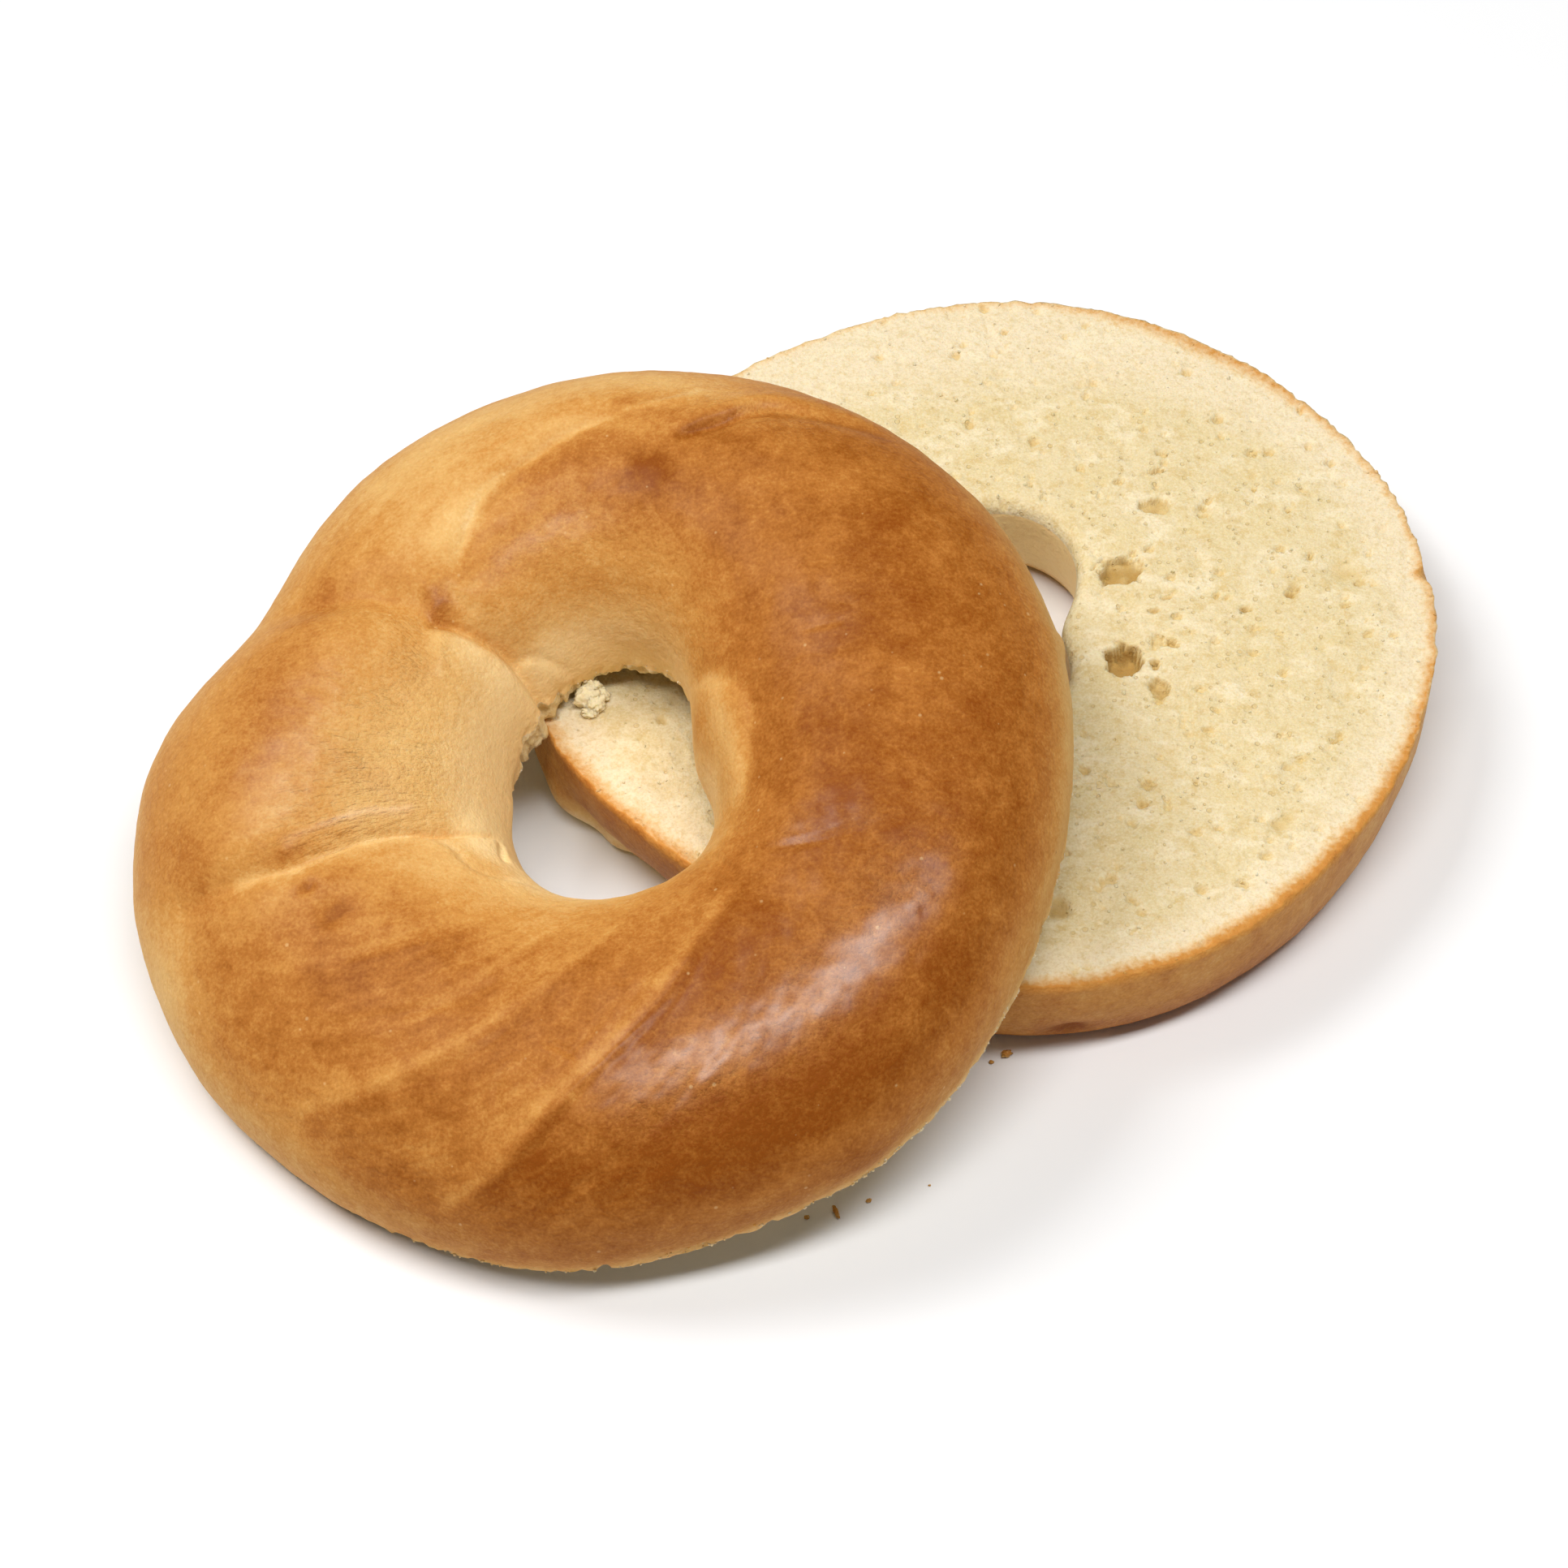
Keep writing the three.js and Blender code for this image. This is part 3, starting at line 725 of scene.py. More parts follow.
def settle(points, node):
    """Moves points, in metres, so that they stand as low as the CAD node's box, over its middle."""
    low, high = (np.array(corner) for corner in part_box(node))
    mine_low, mine_high = points.min((0, 1)), points.max((0, 1))
    move = (low + high - mine_low - mine_high) / 2
    move[2] = low[2] - mine_low[2]
    return points + move


# ---- Relief of the crust and the crumb ----


def top_relief(angle, over, points, normals):
    """How far the top crust stands out of the plain dome."""
    height = STRAND_HEIGHT * near(angle, STRAND_ANGLE, STRAND_SPREAD)
    for fold in FOLDS:
        height = height + fold_height(points, normals, *fold)
    fade = smooth(points[..., 2], 0, FOLD_MARGIN)
    fine = uneven(points, CRUST_SWELLS) + TWIST_RELIEF * twist_lines(angle, over)
    for crease in CREASES:
        fine = fine + fold_height(points, normals, *crease)
    for at, way, radius, out in BLISTERS:
        spot = dome(np.array(float(at)), np.array(way))
        fine = fine + out * bell(np.linalg.norm(points - spot, axis=-1) / radius)
    return fade * height + (FINE_AT_RIM + (1 - FINE_AT_RIM) * fade) * fine


def twist_lines(angle, over):
    """Uneven streaks along the twist in the low front lobe, from about -1 to 1."""
    place = flat_points((angle - TWIST * over) / 4.5, over / 0.22)
    window = near(angle, *TWIST_SIDE) * smooth(over, 0.08, 0.25) * smooth(1 - over, 0.2, 0.4)
    return rough(place, 1, 2, 61) * window


def top_gloss(angle, over, points, normals):
    """How shiny the top crust is, from 0 to 1."""
    gloss = with_zones(GLOSS_GROUND, angle, over, GLOSS_ZONES)
    for path, width, amount in GLOSS_BANDS:
        nearest, along, side = path_distance(points, normals, path, width)
        spread = width * np.where(side > 0, *GLOSS_SIDES)
        gloss += faded(amount * bell(nearest / spread), along, GLOSS_END)
    return np.clip(gloss * (1 + 0.5 * rough(points, 2.4, 3, 63)), 0, 1)


def top_bake(angle, over, points, normals):
    """How deep the top crust is baked, from 0 to 1, with painted highlight, sheen and shade laid into some
    of its lines and zones.
    """
    level = BAKE_LEVEL + BAKE_SWING * np.cos(np.radians(angle - BAKE_DARKEST))
    swing = np.cos(np.radians(angle - BAKE_SHIFT_ANGLE))
    shift = BAKE_SHARE_SHIFT * swing * smooth(over, 0.5, 0.7) + 0.012 * noise(points, 7, 25)
    bake = level * np.interp(over - shift, *zip(*BAKE_SHARE))
    bake = with_zones(bake, angle, over, BAKE_AND_SHEEN_ZONES)
    broken = 0.7 + 0.5 * noise(points, 3.5, 26)
    for path, width, amount, tone, reach in STREAKS_AND_PAINTED_LIGHT:
        nearest, along, side = path_distance(points, normals, path, max(width, reach))
        line = amount * broken * bell(nearest / width)
        flank = tone * np.tanh(side / 0.9) * np.exp(-nearest / reach)
        bake -= faded(line + flank, along, STREAK_END)
    bake += top_mottling(angle, over, points, bake)
    right = near(angle, *PALE_SIDE)
    bake *= 1 - (0.3 + 0.3 * right) * smooth(EDGE_PALE - over, 0, EDGE_PALE)
    return np.clip(bake, 0, 1)


def top_mottling(angle, over, points, bake):
    """How unevenly the top crust is baked: blotches, threads on the strand, and lines along the twist."""
    warped = points + 1.3 * np.stack([noise(points, 5, seed) for seed in (27, 28, 29)], -1)
    mottled = uneven(warped, CRUST_MOTTLING)
    flow = flat_points(angle * FLOW_ROUND, over * FLOW_OVER)
    wavy = flow / (1.0, 3.0, 1.0) + 0.5 * noise(points, 3, 30)[..., None]
    threads = bell(noise(wavy, 2.6, 33) / 0.1)
    mottled = mottled - 0.06 * threads * near(angle, *THREAD_SIDE, 4) * smooth(over, 0.3, 0.45)
    lines = twist_lines(angle, over)
    mottled = mottled + 0.06 * lines - 0.06 * bell(lines / 0.1) * near(angle, *LINE_SIDE, 4)
    arc = near(angle, *ARC_SIDE, 4) * smooth(over, 0.12, 0.28) * (1 - smooth(over, 0.5, 0.62))
    mottled = mottled + 0.12 * rough(flow / (8, 1.7, 1), 1, 2, 67) * arc
    calm = 1 - 0.4 * near(angle, *CALM_SIDE, 4)
    return mottled * smooth(bake, 0, 0.3) * np.clip(1.9 * bake - 0.1, 0.15, 1.8) * calm


def pore_depth(flat, middle, long, wide, deep, turn, seed, soft):
    """Depth of one ragged hollow at flat points."""
    away = flat - middle
    size = max(long, wide)
    close = (np.abs(away) < size * 1.5).all(-1)
    x, y = away[close].T
    c, s = direction(turn)
    along, across = (c * x + s * y) / long, (c * y - s * x) / wide
    spots = flat_points(x + seed * 7.3, y - seed * 3.1)
    out = np.hypot(along, across) * (1 + PORE_RAGGED * rough(spots, size * 0.7, 3, 31))
    depth = np.zeros(flat.shape[:-1])
    depth[close] = deep * smooth(1 - out, 0, soft) * (0.85 + 0.4 * noise(spots, size * 0.5, 37))
    return depth


def random_pores(count, sizes, outer, seed):
    """Seeded places and sizes of small pores, small ones far more often than large ones."""
    draw = np.random.default_rng(seed)
    for _ in range(count):
        angle = draw.uniform(0, 2 * math.pi)
        out = math.sqrt(draw.uniform(PORE_INNER**2, outer**2))
        size = sizes[0] + (sizes[1] - sizes[0]) * draw.random() ** 2.5
        yield out * math.cos(angle), out * math.sin(angle), size, draw.uniform(0.65, 1), draw.uniform(0, 180)


def crumb_relief(flat, seed, named):
    """Depth of the cut crumb's hollows at flat points, and how much of it is pore, from 0 to 1, which the
    crumb's finish darkens partly as painted shade.
    """
    depth = np.zeros(flat.shape[:-1])
    for kind, (count, sizes, outer, steep, soft) in enumerate(DRAWN_PORES):
        pores = random_pores(count, sizes, outer, seed + kind)
        for number, (*middle, size, narrow, turn) in enumerate(pores):
            hollow = pore_depth(flat, middle, size, size * narrow, steep * size, turn, number, soft)
            depth = np.maximum(depth, hollow)
    for number, (angle, out, long, wide, deep, turn) in enumerate(named):
        x, y = direction(angle)
        soft = PORE_SOFT if deep > 0.5 * wide else FLAT_PORE_SOFT
        hollow = pore_depth(flat, (out * x, out * y), long, wide, deep, turn, number + 50, soft)
        depth = np.maximum(depth, hollow)
    pore = smooth(depth, 0.05, 1.45)
    spots = flat_points(flat[..., 0], flat[..., 1], seed * 3.7)
    skin = 0.1 + 0.09 * rough(spots, 1.7, 3, seed + 5) + 0.12 * noise(spots, 9, seed + 9)
    return depth + np.clip(skin, 0, None), pore


# ---- Meshes ----


def closed_ring(name, node, crust, cut, points, **attributes):
    """A half of the bagel: a closed ring of quads through sections, along the crust and then the cut face.

    points has both together, in metres, and is moved to where the CAD node stands. Each attribute has its
    values on the crust and its values on the cut face.
    """
    points = settle(points, node)
    around, steps = points.shape[:2]
    slots = [0] * (crust.shape[1] - 1) + [1] * (cut.shape[1] + 1)
    i, k = np.arange(around)[:, None], np.arange(steps)[None]
    after_i, after_k = (i + 1) % around, (k + 1) % steps
    here, after = i * steps, after_i * steps
    quads = np.stack([here + k, after + k, after + after_k, here + after_k], -1)
    mesh = bpy.data.meshes.new(name)
    mesh.vertices.add(around * steps)
    mesh.vertices.foreach_set("co", points.astype(np.float32).ravel())
    mesh.loops.add(quads.size)
    mesh.loops.foreach_set("vertex_index", quads.astype(np.int32).ravel())
    mesh.polygons.add(around * steps)
    mesh.polygons.foreach_set("loop_start", np.arange(0, quads.size, 4, dtype=np.int32))
    mesh.polygons.foreach_set("material_index", np.tile(np.array(slots, np.int32), around))
    mesh.polygons.foreach_set("use_smooth", np.ones(around * steps, bool))
    for key, pair in attributes.items():
        sides = 3 if key == "flow" else 2
        parts = [np.broadcast_to(values, grid.shape[:sides]) for values, grid in zip(pair, (crust, cut))]
        flat = np.concatenate(parts, 1).astype(np.float32).ravel()
        if key == "flow":
            mesh.attributes.new(key, "FLOAT_VECTOR", "POINT").data.foreach_set("vector", flat)
        else:
            mesh.attributes.new(key, "FLOAT", "POINT").data.foreach_set("value", flat)
    mesh.materials.append(crust_material())
    mesh.materials.append(crumb_material())
    mesh.update(calc_edges=True)
    mesh.validate()
    return link_piece(name, mesh)


def link_piece(name, data):
    """A new object at the origin, with a mesh, a light or a camera as its data."""
    piece = bpy.data.objects.new(name, data)
    bpy.context.scene.collection.objects.link(piece)
    return piece


def ride(piece, slot, *nodes):
    """Puts a finished piece on the part's one body and hides the CAD nodes it stands for; its finish is not
    used.
    """
    if nodes:
        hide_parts(*nodes)
    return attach(piece, "root")


# ---- Shader and geometry node trees ----


def add(tree, kind, values=None, **settings):
    """A node with these settings, and values or links for its inputs."""
    node = tree.nodes.new(kind)
    for key, value in settings.items():
        setattr(node, key, value)
    feed(tree, node, values or {})
    return node


def feed(tree, node, values):
    """Links or sets these inputs of a node."""
    for key, value in values.items():
        socket = node.inputs[key]
        if isinstance(value, bpy.types.NodeSocket):
            tree.links.new(value, socket)
        else:
            socket.default_value = value


def math_node(tree, operation, *values):
    """The result of a Math node."""
    return add(tree, "ShaderNodeMath", dict(enumerate(values)), operation=operation).outputs[0]


def times(tree, first, second):
    return math_node(tree, "MULTIPLY", first, second)


def times_plus(tree, first, second, third):
    return math_node(tree, "MULTIPLY_ADD", first, second, third)


def remap(tree, value, low, high, to_low, to_high):
    """A value carried from one range to another, and kept inside it."""
    values = {"Value": value, "From Min": low, "From Max": high, "To Min": to_low, "To Max": to_high}
    return add(tree, "ShaderNodeMapRange", values).outputs["Result"]


def blend(tree, factor, first, second):
    """A mix of two colours."""
    values = {"Factor": factor, 6: first, 7: second}
    return add(tree, "ShaderNodeMix", values, data_type="RGBA").outputs[2]


def rgba(value):
    return (*value, 1)


def group(name, inputs, outputs, build):
    """A shader node group, made once, with these float or vector inputs and float outputs."""
    if name in bpy.data.node_groups:
        return bpy.data.node_groups[name]
    tree = bpy.data.node_groups.new(name, "ShaderNodeTree")
    for key, default in inputs.items():
        kind = "NodeSocketVector" if default is None else "NodeSocketFloat"
        socket = tree.interface.new_socket(name=key, in_out="INPUT", socket_type=kind)
        if default is not None:
            socket.default_value = default
    for key in outputs:
        tree.interface.new_socket(name=key, in_out="OUTPUT", socket_type="NodeSocketFloat")
    start = tree.nodes.new("NodeGroupInput").outputs
    end = tree.nodes.new("NodeGroupOutput").inputs
    for key, value in build(tree, start).items():
        tree.links.new(value, end[key])
    return tree


def use(tree, shared, vector, output, **values):
    """One output of a shared group, placed in a material with its own values."""
    node = add(tree, "ShaderNodeGroup", node_tree=shared)
    tree.links.new(vector, node.inputs["Vector"])
    for key, value in values.items():
        node.inputs[key.capitalize()].default_value = value
    return node.outputs[output]


def cloud(tree, start, per_metre, roughness):
    """Cloudy noise from 0 to 1."""
    values = {"Vector": start["Vector"], "Scale": per_metre, "Detail": 3, "Roughness": roughness}
    return add(tree, "ShaderNodeTexNoise", values).outputs["Fac"]


def build_mottle(tree, start):
    """Soft blotches, from -1 to 1."""
    per_metre = math_node(tree, "DIVIDE", 1, start["Size"])
    return {"Blotch": remap(tree, cloud(tree, start, per_metre, 0.55), 0.28, 0.72, -1, 1)}


def build_grain(tree, start):
    """Fine height, from 0 to 1: swells broken up by finer grain."""
    per_metre = math_node(tree, "DIVIDE", 1, start["Size"])
    swell = cloud(tree, start, per_metre, 0.62)
    closer = times(tree, per_metre, 1.3)
    cells = add(tree, "ShaderNodeTexVoronoi", {"Vector": start["Vector"], "Scale": closer})
    pitted = times(tree, cells.outputs["Distance"], start["Cells"])
    return {"Height": math_node(tree, "ADD", swell, pitted)}


def build_specks(tree, start):
    """Scattered round specks: 1 inside, 0 outside."""
    per_metre = math_node(tree, "DIVIDE", 1, start["Spacing"])
    values = {"Vector": start["Vector"], "Scale": per_metre, "Randomness": 1.0}
    cells = add(tree, "ShaderNodeTexVoronoi", values)
    chance = add(tree, "ShaderNodeSeparateColor", {"Color": cells.outputs["Color"]}).outputs["Red"]
    size = times(tree, start["Size"], chance)
    inside = math_node(tree, "SUBTRACT", size, cells.outputs["Distance"])
    return {"Mask": remap(tree, inside, 0, 0.06, 0, 1)}


def blotches(tree, place, size):
    """Soft blotches about this large, in metres, from -1 to 1."""
    shared = group("Mottle", {"Vector": None, "Size": 0.008}, ["Blotch"], build_mottle)
    return use(tree, shared, place, "Blotch", size=size)


def grain(tree, place, size, cells):
    """Fine height about this large, in metres, from 0 to 1."""
    shared = group("Fine grain", {"Vector": None, "Size": 0.0006, "Cells": 0.5}, ["Height"], build_grain)
    return use(tree, shared, place, "Height", size=size, cells=cells)


def specks(tree, place, spacing, size):
    """Scattered specks this far apart, in metres. The largest has this size as a part of the spacing."""
    shared = group("Specks", {"Vector": None, "Spacing": 0.004, "Size": 0.2}, ["Mask"], build_specks)
    return use(tree, shared, place, "Mask", spacing=spacing, size=size)


def mapped(tree, vector, **values):
    """A place that is moved, turned or stretched."""
    values = {"Vector": vector, **{key.capitalize(): value for key, value in values.items()}}
    return add(tree, "ShaderNodeMapping", values).outputs["Vector"]


def relief(tree, height):
    """The normal of a surface with this height, in millimetres."""
    values = {"Height": height, "Strength": 1.0, "Distance": MM}
    return add(tree, "ShaderNodeBump", values).outputs["Normal"]


def new_material(name):
    """An empty node material and its shader and output."""
    material = bpy.data.materials.new(name)
    material.use_nodes = True
    tree = material.node_tree
    tree.nodes.clear()
    shader = tree.nodes.new("ShaderNodeBsdfPrincipled")
    output = tree.nodes.new("ShaderNodeOutputMaterial")
    tree.links.new(shader.outputs["BSDF"], output.inputs["Surface"])
    return material, tree, shader


def attribute(tree, name):
    return add(tree, "ShaderNodeAttribute", attribute_name=name).outputs["Fac"]


def crust_ramp(tree, baked):
    """The crust's colour for how deep it is baked."""
    look = bpy.context.scene.bagel_crust
    ramp = add(tree, "ShaderNodeValToRGB", {"Fac": baked})
    stops = [
        (0.0, look.pale),
        (0.2, look.straw),
        (0.42, look.golden),
        (0.62, look.amber),
        (0.82, look.brown),
        (1.0, look.deep),
    ]
    bar = ramp.color_ramp
    bar.elements[0].color = rgba(stops[0][1])
    bar.elements[1].position = stops[-1][0]
    bar.elements[1].color = rgba(stops[-1][1])
    for place, value in stops[1:-1]:
        bar.elements.new(place).color = rgba(value)
    return ramp.outputs["Color"]


def crust_material():
    """Glazed baked skin, by how deep it is baked (a value that also holds painted highlight, sheen and
    shade), with mottling, specks, pale specks painted as glints, and fine ripples.
    """
    if "baked_skin" in bpy.data.materials:
        return bpy.data.materials["baked_skin"]
    look = bpy.context.scene.bagel_crust
    material, tree, shader = new_material("baked_skin")
    place = add(tree, "ShaderNodeTexCoord").outputs["Object"]
    bake = attribute(tree, "bake")
    small = blotches(tree, place, 0.0011)
    fine = blotches(tree, place, 0.0004)
    lively = remap(tree, bake, 0.05, 0.9, 0.35, 1.35)
    varied = times_plus(tree, small, 0.065, times(tree, fine, 0.098))
    varied = times_plus(tree, varied, lively, bake)
    skin = crust_ramp(tree, varied)
    dark = specks(tree, place, 0.006, 0.05)
    skin = blend(tree, times(tree, dark, 0.6), skin, rgba(linear(96, 52, 20)))
    # Pale specks painted on the skin as glints.
    painted_glint = specks(tree, mapped(tree, place, location=(0.1, 0.2, 0.3)), 0.0026, 0.12)
    skin = blend(tree, times(tree, painted_glint, 0.3), skin, rgba(look.pale))

    gloss = attribute(tree, "gloss")
    flow = add(tree, "ShaderNodeAttribute", attribute_name="flow").outputs["Vector"]
    ripples = blotches(tree, mapped(tree, flow, scale=(1.0, 0.32, 1.0)), 0.00085)
    height = times(tree, times(tree, ripples, attribute(tree, "ripple")), 0.17)
    crinkle = times(tree, small, times_plus(tree, gloss, 0.11, 0.03))
    height = math_node(tree, "ADD", height, crinkle)
    grained = times(tree, fine, times_plus(tree, gloss, 0.055, 0.015))
    height = math_node(tree, "ADD", height, grained)
    values = {
        "Base Color": skin,
        "Normal": relief(tree, height),
        "Roughness": remap(tree, gloss, 0, 1, 0.62, 0.5),
        "Coat Weight": remap(tree, gloss, 0, 1, 0, look.glaze),
        "Coat Roughness": 0.27,
        "Specular IOR Level": 0.12,
        "IOR": 1.45,
        "Subsurface Weight": 0.12,
        "Subsurface Radius": (1.0, 0.45, 0.18),
        "Subsurface Scale": 0.0015,
    }
    feed(tree, shader, values)
    return material


def crumb_material():
    """Cut crumb: cream with moister patches, pores darkened with depth (partly the crumb's ochre, partly
    painted shade), a baked band along the rim, and a brighter tone on the torn tuft that is partly painted
    light.
    """
    if "cut_crumb" in bpy.data.materials:
        return bpy.data.materials["cut_crumb"]
    look = bpy.context.scene.bagel_crumb
    material, tree, shader = new_material("cut_crumb")
    place = add(tree, "ShaderNodeTexCoord").outputs["Object"]
    rind = attribute(tree, "rind")
    pore = attribute(tree, "pore")
    broad = blotches(tree, place, 0.0055)
    patch = blotches(tree, place, 0.0021)
    small = blotches(tree, place, 0.0007)
    fine = blotches(tree, place, 0.0003)
    drawn = mapped(tree, place, rotation=(0, 0, 0.9), scale=(0.55, 1, 1))
    strands = remap(tree, blotches(tree, drawn, 0.0028), 0.1, 0.75, 0, 0.7)
    inner = math_node(tree, "SUBTRACT", 1, rind)
    moist = times(tree, remap(tree, broad, -0.4, 0.8, 0, 0.7), inner)
    worn = times(tree, remap(tree, patch, 0.15, 0.7, 0, 0.75), remap(tree, inner, 0, 1, 0.3, 1))
    dark = specks(tree, place, 0.0026, 0.06)
    pins = times(tree, specks(tree, mapped(tree, place, location=(0.2, 0.1, 0.3)), 0.0013, 0.3), inner)
    layers = [
        (rind, look.rind),
        (moist, look.yellow),
        (worn, look.ochre),
        (strands, look.pale),
        (remap(tree, small, 0.1, 1.0, 0, 0.6), look.ochre),
        (remap(tree, fine, 0.0, 1.0, 0, 0.5), look.ochre),
        (remap(tree, fine, 0.0, -1.0, 0, 0.5), look.pale),
        (times(tree, dark, 0.8), look.speck),
        # The pins, hollow and khaki layers darken the pores with depth: partly the crumb's own ochre, partly
        # painted shade.
        (times(tree, pins, 0.5), look.hollow),
        (remap(tree, pore, 0.01, 0.3, 0, 0.65), look.hollow),
        (remap(tree, pore, 0.25, 0.95, 0, 0.85), look.khaki_and_pore_shade),
        # Brighter tone of the torn tuft, partly painted light.
        (times(tree, attribute(tree, "fresh"), 0.7), look.fresh),
    ]
    tone = rgba(look.cream)
    for mask, value in layers:
        tone = blend(tree, mask, tone, rgba(value))
    edge = times_plus(tree, small, 0.06, attribute(tree, "bake"))
    tone = blend(tree, remap(tree, edge, 0.08, 0.4, 0, 1), tone, crust_ramp(tree, edge))

    height = times_plus(tree, grain(tree, place, 0.0014, 0.5), 0.13, times(tree, pins, -0.12))
    height = times_plus(tree, small, 0.03, height)
    height = times_plus(tree, fine, -0.022, height)
    values = {
        "Base Color": tone,
        "Normal": relief(tree, height),
        "Roughness": remap(tree, small, -1, 1, 0.75, 0.95),
        "Specular IOR Level": 0.15,
        "Subsurface Weight": 0.35,
        "Subsurface Radius": (1.0, 0.75, 0.45),
        "Subsurface Scale": 0.0012,
    }
    feed(tree, shader, values)
    return material


# ---- The two halves ----


def hole_tear(angle):
    """How far the crust is torn back from the hole at each angle, as a part of the way over."""
    tear = np.zeros(angle.shape)
    for middle, spread, back in HOLE_TEARS:
        tear += back * near(angle, middle, spread, 4)
    large = 0.15 + 0.85 * near(angle, *HOLE_TEETH_ZONE, 4)
    edge = ring_points(TOP_HOLE["mean"], angle, 0.0)
    teeth = 0.7 * rough(edge, 3.4, 4, 43) + 0.4 * np.abs(noise(edge, 1.3, 47))
    return np.clip(tear + HOLE_TEETH * large * teeth + LEAST_TEAR, 0, MOST_TEAR)


def make_top_half():
    """The domed half: crust from the rim over to the hole, then the cut face back to the rim."""
    angle = np.arange(TOP_AROUND)[:, None] * 360 / TOP_AROUND
    end = 1 - hole_tear(angle)
    over = np.linspace(0, 1, TOP_OVER + 1)[None] * end
    plain = dome(angle, over)
    normals = grid_normals(plain)
    crust = plain + normals * top_relief(angle, over, plain, normals)[..., None]
    ragged = uneven(plain, TORN_EDGE)
    torn = near(angle, *TORN_SIDE)
    near_rim, near_hole = smooth(EDGE_PALE - over, 0, EDGE_PALE), smooth(over / end, 1 - EDGE_PALE, 1)
    outward = ring_points(1.0, angle, 0.0)
    chips = 1.3 * np.clip(rough(plain, 2.4, 4, 45) - 0.12, 0, 0.7)
    frayed = near_rim * (0.35 * ragged - chips) - near_hole * (0.3 + 0.5 * torn) * ragged
    crust = crust + outward * frayed[..., None]
    crust[:, 0, 2] = 0
    crust[..., 2] = np.maximum(crust[..., 2], 0)
    bake = top_bake(angle, over, plain, normals)
    ripple = with_zones(0, angle, over, RIPPLE_ZONES, 4)
    ripple = np.clip(ripple * (0.7 + 0.8 * noise(plain, 6, 64)), 0, 1)
    flow = flat_points(angle * FLOW_ROUND, over * FLOW_OVER) * MM

    out = 0.7 - 10 * hole_tear(angle) + 0.3 * rough(plain[:, -1:], 2, 2, 42)
    foot = crust[:, -1:] + outward * out[..., None]
    foot[..., 2] = 0
    torn_way = np.linspace(0, 1, TOP_TORN + 2)[None, 1:-1, None]
    broken = crust[:, -1:] + (foot - crust[:, -1:]) * torn_way
    broken = broken + outward * (0.5 * rough(broken, 1.6, 3, 44))[..., None]
    way = np.linspace(0, 1, TOP_UNDER - TOP_TORN + 2)[1:-1]
    under = foot + (crust[:, :1] - foot) * way[None, :, None]
    depth, pore = crumb_relief(under[..., :2], UNDER_SEED, [])
    gap = np.minimum(way, 1 - way)[None]
    under[..., 2] = depth * smooth(gap, 0, 0.06)
    under = np.concatenate([broken, under], 1)
    way = np.concatenate([np.zeros(TOP_TORN), way])
    # The torn face takes a little of the pores' darker colour, painted shade under the torn edge.
    pore = np.concatenate([np.full(broken.shape[:2], 0.15), pore], 1)
    rim_band = bell((1 - way[None]) * UNDER_FACE / UNDER_BAND) * UNDER_BAKE

    hole_litter = smooth(over / end, 0.975, 1) * torn * 0.3
    rim_litter = smooth(0.02 - over, 0, 0.02) * (0.35 + 0.65 * near(angle, *LITTER_SIDE))
    return closed_ring(
        "top_half_crust",
        "top_half",
        crust,
        under,
        lean_over(np.concatenate([crust, under], 1)) * MM,
        bake=(bake, rim_band),
        pore=(0, pore),
        ripple=(ripple, 0),
        flow=(flow, 0),
        gloss=(top_gloss(angle, over, plain, normals), 0),
        litter=(np.clip(hole_litter + rim_litter, 0, 1), 0),
        rind=(1, smooth(way[None], 0.75, 0.95)),
    )


def bottom_angles():
    """Angles of the steps round the bottom half, closer together where the cut face lies open."""
    fine = np.linspace(-180, 180, 1441)
    share = np.ones_like(fine)
    for middle, half, more in BOTTOM_CLOSER:
        share += more * (1 - smooth(np.abs(turn_between(fine, middle)), half - 10, half + 10))
    passed = np.concatenate([[0], np.cumsum((share[1:] + share[:-1]) / 2)])
    return np.interp(np.arange(BOTTOM_AROUND) / BOTTOM_AROUND * passed[-1], passed, fine)


def bottom_walls(angle):
    """The bottom half's wall from its cut edge down, its hole from the base up, and the hole's lip."""
    rim, hole = outline(BOTTOM_RIM, angle), outline(BOTTOM_HOLE, angle)
    tuck = outline(BOTTOM_TUCK, angle)
    neck = BOTTOM_HEIGHT - HOLE_LIP
    turn = np.linspace(0, np.pi / 2, BOTTOM_WALL + 1)[None]
    level = 1 - rounded(np.sin(turn), BOTTOM_FULLNESS)
    draw_in = 1 - rounded(np.cos(turn), BOTTOM_FULLNESS)
    wall = ring_points(rim - tuck * draw_in, angle, BOTTOM_HEIGHT * level)
    inner = ring_points(hole + HOLE_TUCK * draw_in, angle, neck * level)[:, ::-1]
    lip_turn = np.linspace(0, np.pi / 2, BOTTOM_LIP + 1)[None, 1:]
    lip = ring_points(hole + HOLE_LIP * (1 - np.cos(lip_turn)), angle, neck + HOLE_LIP * np.sin(lip_turn))
    return wall, inner, lip


